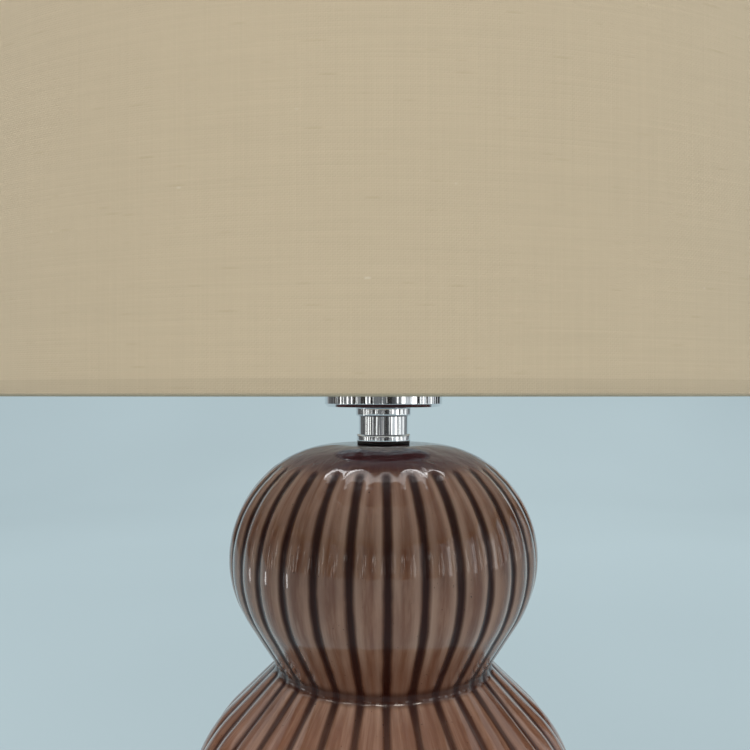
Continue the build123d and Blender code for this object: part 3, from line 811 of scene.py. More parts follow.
def ribbed_turning():
    """Geometry tree: a closed profile turned about the axis, with round-crowned ribs along it."""
    tree, w, given, result = geometry_tree(
        "ribbed_turning",
        {
            "Profile": "Object",
            "Ribs": "Int",
            "Steps": "Int",
            "Seed": "Int",
            **floats("Crown Radius", "Groove Round", "Wobble", "Pool Width", "Crease Height"),
        },
    )
    ribs, seed, crown = given["Ribs"], given["Seed"], given["Crown Radius"]
    grid, share, along = profile_grid(w, given["Profile"], ribs, given["Steps"])
    r, _, z = w.parts(along("GeometryNodeInputPosition", "FLOAT_VECTOR"))
    run_r, _, run_z = w.parts(along("GeometryNodeInputTangent", "FLOAT_VECTOR"))
    strength = along("GeometryNodeInputRadius", "FLOAT")

    # Place across the rib: 0 on the crown, 1 in the groove, with more columns near the groove
    nudge = 0.0001
    rib = w.math("FLOOR", share + nudge)
    local = (share - rib) * 2.0 - 1.0
    across = w.math("SINE", local * (pi / 2))
    off = abs(across)
    half = pi / ribs
    width = r * w.math("TANGENT", half)

    # Round crowns of this rib and its neighbour, which meet in the groove
    this_crown = crown - w.chord(crown, off * width)
    next_crown = crown - w.chord(crown, (2.0 - off) * width)
    drop = w.math("SMOOTH_MIN", this_crown, next_crown, given["Groove Round"]) * strength

    # Hand-cut wobble of each groove, the same on both of its sides
    groove = w.math("FLOOR", share + 0.5) % ribs
    stray = w.noise(w.vector(groove * 3.7 + seed, z * 34.0, 0.0), 1.0, 1.0)
    sway = (stray - 0.5) * (given["Wobble"] * 2.0) * (local * local) / w.math("MAXIMUM", r, 0.02) * strength
    turn = (rib * 2.0 + across) * half + sway

    # Less glaze pools on the lower bulb, and its ribs have hardly any milky flanks with their painted sheen
    on_upper = w.ramp(z, given["Crease Height"] - 0.010, given["Crease Height"])
    edge = (1.0 - off) * width
    uneven = w.noise(w.vector(groove * 5.3 + seed, z * 75.0, 7.0), 1.0, 2.0)
    pool = given["Pool Width"] * (on_upper * 0.15 + 0.85) * (uneven * 0.9 + 0.55)
    pooled = w.ramp(edge, 0.0002, pool, 1.0, 0.0)
    # Bands beside each groove for the milky glaze and its painted sheen
    flank = w.ramp(edge, 0.0012, 0.0028) * w.ramp(edge, 0.0030, 0.0060, 1.0, 0.0) * (on_upper * 0.8 + 0.2)
    rib_shade = w.out("FunctionNodeRandomValue", {"ID": rib % ribs, "Seed": seed}, "Value", data_type="FLOAT")
    mesh = grid
    kept = {"groove": pooled * strength, "rib_shade": rib_shade, "rib_flank": flank * strength}
    for name, value in kept.items():
        inputs = {"Geometry": mesh, "Name": name, "Value": value}
        mesh = w.out("GeometryNodeStoreNamedAttribute", inputs, data_type="FLOAT", domain="POINT")
    mesh = turned_grid(w, mesh, drop * run_z + r, z - drop * run_r, turn)
    end_tree(w, mesh, given, result)
    return tree


def brown_glaze(p):
    """Glossy brown glaze: thin and streaky on the ribs, dark where it pools in grooves and on the top."""
    gloss = {"IOR": 1.5, "Specular IOR Level": 0.16, "Coat Roughness": 0.03, "Coat IOR": 1.5}
    material, w, shader = new_material("brown_glaze", gloss)
    low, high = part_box("ceramic_body")
    place = w.object_place()
    x, y, z = w.parts(place)
    groove, rib_shade, flank = (w.attribute(name) for name in ("groove", "rib_shade", "rib_flank"))
    reach = w.math("MAXIMUM", w.math("SQRT", x * x + y * y), 0.004)
    side_x, side_y = x / reach, y / reach

    def running(stretch, scale, detail, roughness):
        """Noise that runs down the body, stretched along its height."""
        return w.noise(w.vector(side_x, side_y, z * stretch), scale, detail, roughness)

    def crease_band(low_edge, low_full, high_full, high_edge):
        """Mask of a band of heights from the crease between the bulbs."""
        rise = z - p.crease_height
        return w.ramp(rise, high_edge, high_full) * w.ramp(rise, low_edge, low_full)

    # Thin glaze: paler streaks, redder runs and fine lines, each rib a little different
    streaks = running(1.6, 26.0, 4.0, 0.62)
    runs = running(5.0, 9.0, 3.0, 0.55)
    fine = running(0.9, 95.0, 2.0, 0.6)
    cloud = w.noise(place, 55.0, 3.0, 0.55)
    redder = tuple(c * k for c, k in zip(p.rib_colour, (0.80, 0.66, 0.62)))
    glaze = w.blend(w.ramp(streaks, 0.38, 0.66), p.rib_colour, p.streak_colour)
    glaze = w.blend(w.ramp(runs, 0.44, 0.68) * 0.70, glaze, redder)
    glaze = w.blend(w.ramp(fine, 0.50, 0.70) * 0.40, glaze, redder)
    glaze = w.scale(glaze, (rib_shade * 0.16 + 0.92) * (cloud * 0.24 + 0.88))
    # Milky glaze with a painted sheen lies in bands beside the grooves, which come and go along the height
    bands = running(2.4, 7.0, 2.0, 0.5)
    glaze = w.blend(flank * w.ramp(bands, 0.34, 0.62, 0.30, 0.90), glaze, p.flank_milk_and_sheen_colour)
    # Painted reflection of the red lower bulb: the glaze is drawn redder under the upper bulb
    painted_lower_bulb_reflection = crease_band(-0.003, 0.0, 0.010, 0.026)
    glaze = w.blend(painted_lower_bulb_reflection * 0.60, glaze, redder)
    # Dark specks, dark glaze pooled in the grooves, and pooled glaze with painted shade in the crease
    glaze = w.blend(w.ramp(w.noise(place, 1100.0, 1.0, 0.4), 0.75, 0.82), glaze, p.pool_and_crease_shade_colour)
    pooled = w.ramp((streaks - 0.5) * 0.30 + groove, -0.05, 0.90)
    pooled = pooled * w.ramp(z, p.crease_height - 0.012, p.crease_height, 0.84, 1.0)
    glaze = w.blend(pooled, glaze, p.pool_and_crease_shade_colour)
    # Painted shade in the crease, laid over its pooled glaze
    glaze = w.blend(crease_band(-0.0032, -0.0008, 0.0015, 0.0055) * 0.75, glaze, p.pool_and_crease_shade_colour)
    # The thick glaze of the top thins out unevenly towards the ribs
    on_top = w.ramp((runs - 0.5) * 0.004 + z, high.z - 0.0125, high.z - 0.0050)
    glaze = w.blend(on_top, glaze, p.top_colour)
    bare = w.ramp(z, low.z + 0.0017, low.z + 0.0009)
    glaze = w.blend(bare, glaze, p.bare_colour)

    pits = w.noise(place, 420.0, 2.0, 0.5)
    rough = pits * 0.05 + (pooled * 0.25 + 0.05) + bare * 0.6
    swell = w.noise(w.vector(x, y, z * 0.6), 110.0, 2.0, 0.45)
    relief = w.bump(cloud + swell + streaks * 0.16, 0.5, 0.0015)
    # The clear gloss lies thick on the ribs, and thin over pooled glaze, the top, the crease's shade and the
    # painted reflection under the upper bulb
    deep = crease_band(-0.0012, 0.0004, 0.0030, 0.0065)
    dull = pooled * 0.85
    for mask, share in ((on_top, 0.55), (deep, 0.80), (painted_lower_bulb_reflection, 0.25)):
        dull = w.math("MAXIMUM", dull, mask * share)
    coat = 0.9 - dull * 0.9
    w.feed(shader, {"Base Color": glaze, "Roughness": rough, "Normal": relief, "Coat Weight": coat})
    return material


def with_inlet_hole(mesh):
    """The ceramic with the hole for the cord inlet through the back of its foot ring."""
    low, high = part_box("cord_grommet")
    middle_z = (low.z + high.z) / 2
    bore, flange, sink, start, end = 0.0049, 0.0060, 0.0005, 0.045, 0.075
    seat = bpy.context.scene.lamp.body.foot_radius - sink
    outline = [(0.0, start), (bore, start), (bore, seat), (flange, seat), (flange, end), (0.0, end)]
    drill = turned("inlet_drill", outline, 48)
    for vert in drill.vertices:
        across, up, out = vert.co
        vert.co = (across, out, middle_z - up)
    cutter = linked("inlet_drill", drill)
    maker = linked("drilled_body", mesh)
    cut = maker.modifiers.new("inlet", "BOOLEAN")
    cut.operation, cut.object, cut.solver = "DIFFERENCE", cutter, "EXACT"
    drilled = plain_mesh(maker)
    bpy.data.objects.remove(cutter)
    return drilled


class LAMP_OT_ceramic_body(bpy.types.Operator):
    """Build the ribbed double-gourd body in its brown glaze"""

    bl_idname = "lamp.ceramic_body"
    bl_label = "Ceramic Body"

    def execute(self, context):
        p = context.scene.lamp.body
        glaze = brown_glaze(p)
        mesh = turned_by_nodes(
            ribbed_turning(),
            "ribbed_body",
            body_profile(p),
            {
                "Ribs": p.rib_count,
                "Steps": p.rib_steps,
                "Crown Radius": p.crown_radius,
                "Groove Round": p.groove_round,
                "Wobble": p.groove_wobble,
                "Pool Width": p.pool_width,
                "Crease Height": p.crease_height,
                "Seed": 11,
                "Material": glaze,
            },
        )
        piece("ribbed_body", with_inlet_hole(mesh), "base", "ceramic_body", glaze)
        return {"FINISHED"}


# Foot, neck and cup

class LAMP_OT_foot_parts(bpy.types.Operator):
    """Finish the felt, the clamping plate with its washer, nut and tube, and the cord inlet"""

    bl_idname = "lamp.foot_parts"
    bl_label = "Foot Parts"

    def execute(self, context):
        keep_nodes(black_felt(), "base_felt")
        keep_nodes(steel(), "base_plate", "base_washer", "base_nut", "center_rod", "cup_nut", "grub_screw")
        keep_nodes(black_rubber(), "cord_grommet")
        return {"FINISHED"}


class LAMP_OT_neck_and_cup(bpy.types.Operator):
    """Turn the rubber gasket, the chromed neck and the chromed cup"""

    bl_idname = "lamp.neck_and_cup"
    bl_label = "Neck And Cup"

    def execute(self, context):
        p = context.scene.lamp.metal
        low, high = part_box("neck_gasket")
        soft = p.gasket_edge
        outline = [(p.bore, low.z), (high.x - soft, low.z), (high.x, low.z + soft)]
        outline += [(high.x, high.z - soft), (high.x - soft, high.z), (p.bore, high.z)]
        turned_piece("gasket", outline, "base", "neck_gasket", black_rubber())

        low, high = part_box("neck")
        barrel_foot, barrel_top = low.z + p.foot_bead_height, high.z - p.top_bead_height
        outline = [(p.bore, low.z)]
        outline += rim(p.foot_bead_radius, low.z, barrel_foot, p.bead_round, 8, 4)
        outline += [(p.neck_radius, barrel_foot), (p.neck_radius, barrel_top)]
        outline += rim(p.top_bead_radius, barrel_top, high.z, p.bead_round, 8, 4)
        outline += [(p.bore, high.z)]
        turned_piece("chromed_neck", outline, "base", "neck", chrome(), 160)

        low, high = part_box("holder_cup")
        edge, wall, lip = p.cup_edge, p.cup_wall, p.cup_lip
        ease = lip * tan(pi / 8)
        outline = [(p.bore, low.z)]
        outline += arc((high.x - edge - ease, low.z + lip), lip, -pi / 2, -pi / 4, 5)
        outline += arc((high.x - lip, low.z + edge + ease), lip, -pi / 4, 0, 5)
        outline += run((high.x, low.z + edge + ease), (high.x, high.z - lip), 60)
        outline += arc((high.x - lip, high.z - lip), lip, 0, pi / 2, 4)
        outline += arc((high.x - wall + lip, high.z - lip), lip, pi / 2, pi, 4)
        outline += arc((high.x - edge, low.z + edge), edge - wall, 0, -pi / 2, 10)
        outline += [(p.bore, low.z + wall)]
        turned_piece("chromed_cup", outline, "base", "holder_cup", chrome(), 192)
        return {"FINISHED"}


# Lampholder, shade ring and lamp

def thread_ridge():
    """Geometry tree: a rounded thread ridge wound up a cylinder, thinned out at both ends."""
    name = "thread_ridge"
    if name in bpy.data.node_groups:
        return bpy.data.node_groups[name]
    tree, w, given, result = geometry_tree(
        name, floats("Radius", "Start Height", "Pitch", "Turns", "Ridge Radius")
    )
    turns = given["Turns"]
    path = w.out(
        "GeometryNodeCurveSpiral",
        {
            "Resolution": 48,
            "Rotations": turns,
            "Start Radius": given["Radius"],
            "End Radius": given["Radius"],
            "Height": given["Pitch"] * turns,
        },
    )
    foot = w.vector(0.0, 0.0, given["Start Height"])
    path = w.out("GeometryNodeSetPosition", {"Geometry": path, "Offset": foot})
    share = w.out("GeometryNodeSplineParameter", output="Factor")
    fade = w.ramp(w.math("MINIMUM", share, 1.0 - share) * turns, 0.0, 0.6, 0.05, 1.0)
    section = w.out("GeometryNodeCurvePrimitiveCircle", {"Resolution": 10, "Radius": given["Ridge Radius"]})
    inputs = {"Curve": path, "Profile Curve": section, "Scale": fade, "Fill Caps": True}
    end_tree(w, w.out("GeometryNodeCurveToMesh", inputs), given, result)
    return tree


def threaded(name, core, radius, start, end, pitch, ridge, material):
    """A turned core with a thread wound on it from one height to another."""
    thread = made_by_nodes(
        thread_ridge(),
        f"{name}_thread",
        {
            "Radius": radius,
            "Start Height": start,
            "Pitch": pitch,
            "Turns": (end - start) / pitch,
            "Ridge Radius": ridge,
            "Material": material,
        },
    )
    return joined(name, turned(name, core), thread)


class LAMP_OT_lampholder(bpy.types.Operator):
    """Finish the lampholder: threaded sleeve, cap, porcelain core and brass contacts"""

    bl_idname = "lamp.lampholder"
    bl_label = "Lampholder"

    def execute(self, context):
        p = context.scene.lamp.holder
        plastic = holder_plastic()
        keep_nodes(plastic, "holder_cap")
        keep_nodes(white_porcelain(), "holder_core")
        keep_nodes(brass(), "terminal_screws", "screw_shell", "center_contact")

        low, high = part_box("holder_skirt")
        soft, bore, ridge = p.sleeve_edge, p.sleeve_bore, p.sleeve_ridge
        core_r = p.sleeve_radius - ridge * 0.8
        flange_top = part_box("fitter_ring")[0].z
        flange_low = flange_top - p.flange_height
        outline = [(bore, low.z), (p.sleeve_radius, low.z), (p.sleeve_radius, flange_low)]
        outline += rim(high.x, flange_low, flange_top, soft, 4)
        outline += [(core_r, flange_top)]
        outline += arc((core_r - soft, high.z - soft), soft, 0, pi / 2, 4)
        outline += arc((bore + soft, high.z - soft), soft, pi / 2, pi, 4)
        start_gap, end_gap = 0.0012, 0.0015
        start, end = flange_top + start_gap, high.z - end_gap
        mesh = threaded("threaded_sleeve", outline, core_r, start, end, p.sleeve_pitch, ridge, plastic)
        piece("threaded_sleeve", mesh, "base", "holder_skirt", plastic)
        return {"FINISHED"}


def gripped_ring():
    """Geometry tree: a closed profile turned about the axis, with rounded finger grips cut into its rim."""
    tree, w, given, result = geometry_tree(
        "gripped_ring", {"Profile": "Object", "Grips": "Int", "Steps": "Int", **floats("Grip Radius")}
    )
    grid, share, along = profile_grid(w, given["Profile"], given["Grips"], given["Steps"])
    r, _, z = w.parts(along("GeometryNodeInputPosition", "FLOAT_VECTOR"))
    cut = along("GeometryNodeInputRadius", "FLOAT")
    spacing = 2 * pi / given["Grips"]
    off = (share - w.math("ROUND", share)) * spacing * r
    mesh = turned_grid(w, grid, r - w.chord(given["Grip Radius"], off) * cut, z, share * spacing)
    end_tree(w, mesh, given, result)
    return tree


class LAMP_OT_shade_ring(bpy.types.Operator):
    """Build the screwed ring with finger grips that holds the shade down"""

    bl_idname = "lamp.shade_ring"
    bl_label = "Shade Ring"

    def execute(self, context):
        p = context.scene.lamp.holder
        plastic = holder_plastic()
        low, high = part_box("shade_ring")
        flat_r = high.x - p.ring_rim
        profile = [(p.ring_bore, low.z, 0.0), (flat_r, low.z, 0.0)]
        profile += [(r, z, 1.0) for r, z in rim(high.x, low.z, high.z, p.ring_edge, 4)]
        profile += [(flat_r, high.z, 0.0), (p.ring_bore, high.z, 0.0)]
        mesh = turned_by_nodes(
            gripped_ring(),
            "gripped_shade_ring",
            profile,
            {
                "Grips": p.grip_count,
                "Grip Radius": p.grip_radius,
                "Steps": p.grip_steps,
                "Material": plastic,
            },
        )
        piece("gripped_shade_ring", mesh, "shade_ring", "shade_ring", plastic)
        return {"FINISHED"}


class LAMP_OT_bulb(bpy.types.Operator):
    """Build the lamp: threaded cap, insulator, housing and frosted globe"""

    bl_idname = "lamp.bulb"
    bl_label = "Lamp"

    def execute(self, context):
        p = context.scene.lamp.holder
        keep_nodes(brass(), "lamp_contact")
        keep_nodes(black_glass(), "lamp_insulator")

        low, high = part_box("lamp_cap")
        chamfer, slope, end_gap = p.cap_chamfer, 0.001, 0.0012
        core_r = high.x - p.cap_ridge
        rim_z = high.z - p.cap_rim
        core_z = rim_z - slope
        outline = [(0.0, low.z), (high.x - chamfer, low.z), (core_r, low.z + chamfer), (core_r, core_z)]
        outline += [(high.x, rim_z), (high.x, high.z), (0.0, high.z)]
        start, end = low.z + 2 * chamfer, core_z - end_gap
        mesh = threaded("threaded_cap", outline, core_r, start, end, p.cap_pitch, p.cap_ridge, nickel())
        piece("threaded_cap", mesh, "lamp", "lamp_cap", nickel())

        low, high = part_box("lamp_housing")
        collar, seat = p.housing_collar, high.x
        rise, spread = high.z - low.z, seat - collar
        flare = (rise**2 + spread**2) / (2 * spread)
        sweep = atan2(rise, flare - spread)
        outline = [(0.0, low.z)] + arc((collar + flare, low.z), flare, pi, pi - sweep, 24) + [(0.0, high.z)]
        turned_piece("lamp_housing_shell", outline, "lamp", "lamp_housing", housing_white())

        low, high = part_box("lamp_globe")
        radius = high.x
        centre = (0.0, high.z - radius)
        start = atan2(low.z - centre[1], seat)
        outline = arc(centre, radius, start, pi / 2, 40)
        outline += arc(centre, radius - p.glass, pi / 2, start, 40)
        outline[-1] = (outline[-1][0], low.z)
        turned_piece("frosted_globe", outline, "lamp", "lamp_globe", frosted_glass())
        return {"FINISHED"}


# Shade

class LAMP_OT_carrier(bpy.types.Operator):
    """Build the shade's white wire rings, and finish its spokes and fitter"""

    bl_idname = "lamp.carrier"
    bl_label = "Wire Carrier"

    def execute(self, context):
        for node in ("bottom_wire", "top_wire"):
            low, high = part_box(node)
            radius = (high.z - low.z) / 2
            outline = arc((high.x - radius, low.z + radius), radius, 0, 2 * pi, 14)[:-1]
            turned_piece(f"{node}_ring", outline, "shade", node, white_coat(), 192)
        keep_nodes(white_coat(), "spokes", "fitter_ring")
        return {"FINISHED"}


def linen(p, band_low, band_high):
    """Plain-woven linen with uneven threads, slubs and flecks, a little darker along its hems, on its flat
    size.
    """
    cloth = {"Sheen Weight": 0.12, "Sheen Roughness": 0.5, "Specular IOR Level": 0.2}
    material, w, shader = new_material("taupe_linen", cloth)
    along, up, _ = w.parts(w.out("ShaderNodeUVMap", uv_map="cloth"))
    drift = (w.noise(w.vector(along, up, 0.0), 45.0) - 0.5) * 0.5
    warp, weft = along / p.thread_pitch + drift, up / p.thread_pitch + drift
    warp_no, weft_no = w.math("FLOOR", warp), w.math("FLOOR", weft)
    over = (warp_no + weft_no) % 2.0
    warp_top = w.math("SINE", w.math("FRACT", warp) * pi) * (over * 0.6 + 0.4)
    weft_top = w.math("SINE", w.math("FRACT", weft) * pi) * (over * -0.6 + 1.0)
    height = w.math("MAXIMUM", warp_top, weft_top)

    def thread_noise(x, y, layer, detail):
        """Noise that changes from thread to thread and along each of them."""
        return w.noise(w.vector(x, y, layer), 1.0, detail)

    # Each thread has its own tone, and some swell into slubs for a few millimetres
    weft_tone = thread_noise(along * 26.0, weft_no * 5.37, 0.0, 2.0)
    warp_tone = thread_noise(warp_no * 7.13, up * 20.0, 4.0, 2.0)
    slub = w.ramp(thread_noise(along * 95.0, weft_no * 3.91, 9.0, 1.0), 0.66, 0.80)
    fleck = w.ramp(thread_noise(along * 260.0, weft_no * 2.77, 17.0, 0.0), 0.86, 0.94)
    cloud = w.noise(w.vector(along, up, 3.0), 9.0, 3.0)

    # The cloth is drawn a little darker over the hems and just beside them
    soft = 0.0002
    low_band = w.ramp(up, band_low - soft, band_low + soft, 0.92, 1.0)
    high_band = w.ramp(up, band_high - soft, band_high + soft, 1.0, 0.92)
    tint = (weft_tone - 0.5) * 0.11 + (warp_tone - 0.5) * 0.08 + (cloud - 0.5) * 0.06 + 1.0
    # Threads are drawn a little darker where they dip: painted shade in the weave
    tint = tint * (height * 0.030 + 0.976) * (low_band * high_band)
    threads = w.scale(tuple(p.linen_colour), tint)
    threads = w.blend(slub * 0.28, threads, p.slub_colour)
    threads = w.blend(fleck * 0.5, threads, p.fleck_colour)
    relief = w.bump(slub * 0.6 + height, 0.25, 0.00015)
    w.feed(shader, {"Base Color": threads, "Roughness": height * -0.08 + 0.92, "Normal": relief})
    return material


def drum_profile(p, mid_r, low_z, high_z):
    """Points of radius and height through the cloth, hem to hem, and the number at which its face starts."""
    fold = p.fold_round - p.cloth_thickness / 2
    foot, head = low_z + p.fold_round, high_z - p.fold_round
    leg_r = mid_r - 2 * (p.hem_round - p.cloth_thickness / 2)
    leg = p.hem_round + p.hem_leg - p.fold_round
    leg_steps = 4
    profile = [(leg_r, foot + leg - leg * i / leg_steps) for i in range(leg_steps)]
    profile += arc((leg_r + fold, foot), fold, pi, 1.5 * pi, 6)
    profile += arc((mid_r - fold, foot), fold, 1.5 * pi, 2 * pi, 6)
    face_start = len(profile) - 1
    profile += run((mid_r, foot), (mid_r, head), 40)
    profile += arc((mid_r - fold, head), fold, 0, pi / 2, 6)
    profile += arc((leg_r + fold, head), fold, pi / 2, pi, 6)
    profile += [(leg_r, head - leg * i / leg_steps) for i in range(1, leg_steps + 1)]
    return profile, face_start


def lapped_cloth(p, profile, lengths, mid_r, width):
    """Sheet laid once round the drum and lapped at the back, with its places on the flat cloth as its map."""
    outward = []
    for (r0, z0), (r1, z1) in zip(profile[:1] + profile, profile[1:] + profile[-1:]):
        reach = hypot(r1 - r0, z1 - z0)
        outward.append(((z1 - z0) / reach, (r0 - r1) / reach))
    around = width - p.seam_lap
    sheet = bmesh.new()
    cloth = sheet.loops.layers.uv.new("cloth")
    columns = []
    for step in range(DRUM_STEPS + 1):
        along = width * step / DRUM_STEPS
        turn = pi / 2 - (p.seam_lap / 2 - along) / mid_r
        # The far end of the cloth rises on to its near end and lies over it
        lift = (p.cloth_thickness + p.lap_gap) * eased((along - around) / p.lap_rise + 1)
        column = []
        for (r, z), (out, up) in zip(profile, outward):
            r += out * lift
            column.append(sheet.verts.new((r * cos(turn), r * sin(turn), z + up * lift)))
        columns.append(column)
    for step in range(DRUM_STEPS):
        for i in range(len(profile) - 1):
            places = ((step, i), (step + 1, i), (step + 1, i + 1), (step, i + 1))
            face = sheet.faces.new([columns[column][row] for column, row in places])
            for loop, (column, row) in zip(face.loops, places):
                loop[cloth].uv = (width * column / DRUM_STEPS, lengths[row])
    return mesh_of("linen_drum", sheet)


class LAMP_OT_shade_cloth(bpy.types.Operator):
    """Lay the linen round the drum, turn its hems over the wires and lap it at the back"""

    bl_idname = "lamp.shade_cloth"
    bl_label = "Linen Drum"

    def execute(self, context):
        p = context.scene.lamp.shade
        low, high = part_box("shade_fabric")
        mid_r = high.x - p.cloth_thickness / 2
        profile, face_start = drum_profile(p, mid_r, low.z, high.z)
        lengths = [0.0]
        for (r0, z0), (r1, z1) in zip(profile, profile[1:]):
            lengths.append(lengths[-1] + hypot(r1 - r0, z1 - z0))
        width = 2 * pi * mid_r + p.seam_lap
        maker = linked("linen_maker", lapped_cloth(p, profile, lengths, mid_r, width))
        wall = maker.modifiers.new("thickness", "SOLIDIFY")
        wall.thickness, wall.offset = p.cloth_thickness, 0.0
        band = lengths[face_start] + p.hem_band
        weave = linen(p, band, lengths[-1] - band)
        drum = piece("linen_drum", plain_mesh(maker), "shade", "shade_fabric", weave)

        low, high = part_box("shade_liner")
        inner = high.x - p.film_thickness
        outline = [(inner, low.z), (high.x, low.z), (high.x, high.z), (inner, high.z)]
        turned_piece("film_liner", outline, "shade", "shade_liner", white_film(), DRUM_STEPS)
        return {"FINISHED"}


# Stage

def stage_surface(p):
    """Pale backdrop that stays even behind the lamp and still takes its shadow."""
    material = bpy.data.materials.new("pale_backdrop")
    w = emptied(material)
    cloud = w.noise(w.object_place(), 1.3)
    pale = w.scale(tuple(p.backdrop_colour), (cloud - 0.5) * 0.16 + 1.0)
    matt = w.out("ShaderNodeBsdfDiffuse", {"Color": w.scale(pale, 0.75)})
    even = w.out("ShaderNodeEmission", {"Color": pale, "Strength": 1.0})
    rays = [w.out("ShaderNodeLightPath", output=f"Is {kind} Ray") for kind in ("Camera", "Glossy")]
    mix = w.out("ShaderNodeMixShader", {0: w.math("MAXIMUM", *rays) * 0.6, 1: matt, 2: even})
    w.add("ShaderNodeOutputMaterial", {"Surface": mix})
    return material


def studio_room(p):
    """World of soft panels and bright strips that chrome and glaze reflect, even where the camera sees it."""
    world = bpy.data.worlds.new("studio_room")
    w = emptied(world)
    camera_ray = w.out("ShaderNodeLightPath", output="Is Camera Ray")
    x, y, z = w.parts(w.out("ShaderNodeTexCoord", output="Generated"))
    panels = w.noise(w.vector(x * 4.0, y * 4.0, z), 1.7, 3.0, 0.6)
    room = w.blend(w.ramp(panels, 0.42, 0.58), tone(26, 27, 29), tone(226, 232, 236))
    # Darker in front and on the left, with bright strips low down
    room = w.blend(w.ramp(y, -0.70, -0.94) * 0.8, room, tone(40, 38, 37))
    room = w.blend(w.ramp(x, -0.40, -0.80) * 0.75, room, tone(58, 54, 50))
    strips = w.noise(w.vector(x * 7.0, y * 7.0, z), 2.3, 2.0, 0.6)
    strips = w.ramp(strips, 0.56, 0.62) * w.ramp(z, 0.34, 0.24) * w.ramp(y, 0.4, 0.1)
    room = w.blend(strips, room, (2.6, 2.6, 2.5))
    # White upper walls under a greyer ceiling
    room = w.blend(w.ramp(z, 0.38, 0.50), room, tone(252, 252, 250))
    room = w.blend(w.ramp(z, 0.70, 0.92), room, tone(150, 152, 154))
    seen = w.blend(camera_ray, room, p.backdrop_colour)
    strength = camera_ray * (1.0 - p.room_light) + p.room_light
    sky = w.out("ShaderNodeBackground", {"Color": seen, "Strength": strength})
    w.add("ShaderNodeOutputWorld", {"Surface": sky})
    return world


def photo_camera(p):
    """Level camera, its lens shifted so that axis and horizon fall where the photograph has them."""
    away = Vector((-sin(p.camera_turn), -cos(p.camera_turn), 0))
    lens = bpy.data.cameras.new("photo_camera")
    lens.sensor_width = SENSOR_WIDTH
    lens.lens = SENSOR_WIDTH * PHOTO_FOCAL / PHOTO_SIZE
    lens.shift_x = (PHOTO_SIZE / 2 - PHOTO_AXIS_X) / PHOTO_SIZE
    lens.shift_y = (PHOTO_HORIZON_Y - PHOTO_SIZE / 2) / PHOTO_SIZE
    lens.clip_start = 0.01
    camera = linked("photo_camera", lens)
    camera.location = away * p.camera_distance + Vector((0, 0, p.camera_height))
    camera.rotation_euler = (-away).to_track_quat("-Z", "Y").to_euler()
    return camera


def area_light(name, place, target_z, size, energy, tint):
    """Soft rectangular light that faces a point on the lamp's axis."""
    light = bpy.data.lights.new(name, "AREA")
    light.shape = "RECTANGLE"
    light.size, light.size_y = size
    light.energy = energy
    light.color = tint
    obj = linked(name, light)
    obj.location = place
    obj.visible_camera = False
    obj.rotation_euler = (Vector((0, 0, target_z)) - Vector(place)).to_track_quat("-Z", "Y").to_euler()
    return obj


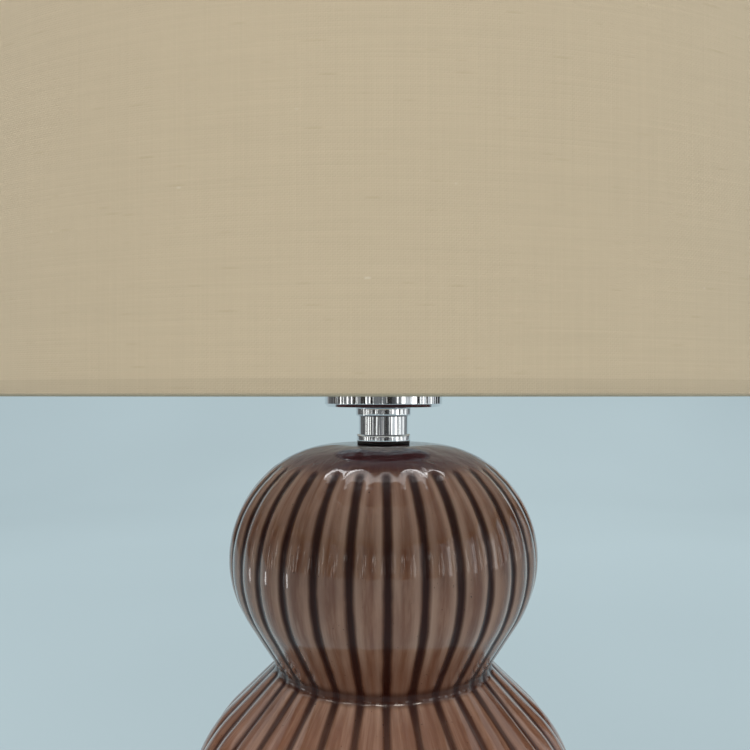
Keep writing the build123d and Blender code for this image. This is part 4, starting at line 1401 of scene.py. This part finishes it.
class LAMP_OT_stage(bpy.types.Operator):
    """Set the pale backdrop, the soft light and the camera at the photograph's angle"""

    bl_idname = "lamp.stage"
    bl_label = "Stage"

    def execute(self, context):
        scene = context.scene
        p = scene.lamp.stage
        scene.view_settings.view_transform = "Standard"
        scene.camera = photo_camera(p)

        # Floor that sweeps up into the backdrop behind the lamp, with a plain floor on both sides of it
        surface = stage_surface(p)
        back, bend, top, side, far = 2.2, 0.9, 4.0, 1.6, 2.4
        sweep = [(-far, 0.0)] + arc((back - bend, bend), bend, -pi / 2, 0, 24) + [(back, top)]
        flat = [(-far, 0.0), (far, 0.0)]
        for name, left, right, outline in (
            ("backdrop", -side, side, sweep),
            ("floor_left", -far, -side, flat),
            ("floor_right", side, far, flat),
        ):
            sheet = bmesh.new()
            rows = [[sheet.verts.new((x, y, z)) for x in (left, right)] for y, z in outline]
            for here, there in zip(rows, rows[1:]):
                sheet.faces.new((here[0], here[1], there[1], there[0]))
            ground = linked(name, mesh_of(name, sheet))
            dress(ground, surface)

        warm, white = p.light_colour, (1.0, 1.0, 1.0)
        area_light("key_light", (-0.9, -1.1, 1.5), 0.25, (1.0, 1.0), p.key_power, warm)
        area_light("front_light", (0.40, -2.0, 1.45), 0.3, (1.1, 0.5), p.front_power, warm)
        area_light("top_light", (0.0, 0.68, 2.3), 0.2, (1.9, 0.22), p.top_power, white)
        area_light("ceiling_light", (0.0, 0.25, 2.4), 0.2, (1.6, 0.8), p.ceiling_power, white)
        area_light("back_light", (0.5, 1.7, 1.5), 0.3, (1.2, 0.8), p.back_power, warm)
        # The small window on the left shows in the glaze only
        window = area_light("left_window", (-0.60, 0.03, 0.05), 0.17, (0.05, 0.085), p.left_power, white)
        window.visible_diffuse = False
        area_light("right_window", (1.30, -0.75, 0.35), 0.2, (0.26, 0.6), p.right_power, white)

        scene.world = studio_room(p)
        return {"FINISHED"}


class LAMP_PT_panel(bpy.types.Panel):
    """Sidebar panel of the table lamp"""

    bl_idname = "LAMP_PT_panel"
    bl_label = "Table Lamp"
    bl_space_type = "VIEW_3D"
    bl_region_type = "UI"
    bl_category = "Table Lamp"

    def draw(self, context):
        lamp = context.scene.lamp
        for group, operators in (
            (lamp.body, (LAMP_OT_ceramic_body, LAMP_OT_foot_parts)),
            (lamp.metal, (LAMP_OT_neck_and_cup,)),
            (lamp.holder, (LAMP_OT_lampholder, LAMP_OT_shade_ring, LAMP_OT_bulb)),
            (lamp.shade, (LAMP_OT_carrier, LAMP_OT_shade_cloth)),
            (lamp.stage, (LAMP_OT_stage,)),
        ):
            column = self.layout.box().column()
            for key in group.__annotations__:
                column.prop(group, key)
            for operator in operators:
                column.operator(operator.bl_idname)


SETTINGS = (
    CeramicBodySettings,
    MetalSettings,
    LampholderSettings,
    ShadeSettings,
    StageSettings,
    LampSettings,
)
OPERATORS = (
    LAMP_OT_stage,
    LAMP_OT_ceramic_body,
    LAMP_OT_foot_parts,
    LAMP_OT_neck_and_cup,
    LAMP_OT_lampholder,
    LAMP_OT_shade_ring,
    LAMP_OT_bulb,
    LAMP_OT_carrier,
    LAMP_OT_shade_cloth,
)
CLASSES = (*SETTINGS, *OPERATORS, LAMP_PT_panel)


def register():
    for cls in CLASSES:
        bpy.utils.register_class(cls)
    bpy.types.Scene.lamp = bpy.props.PointerProperty(type=LampSettings)


def unregister():
    del bpy.types.Scene.lamp
    for cls in reversed(CLASSES):
        bpy.utils.unregister_class(cls)


def main():
    register()
    for operator in OPERATORS:
        area, action = operator.bl_idname.split(".")
        getattr(getattr(bpy.ops, area), action)()


if __name__ == "__main__":
    main()
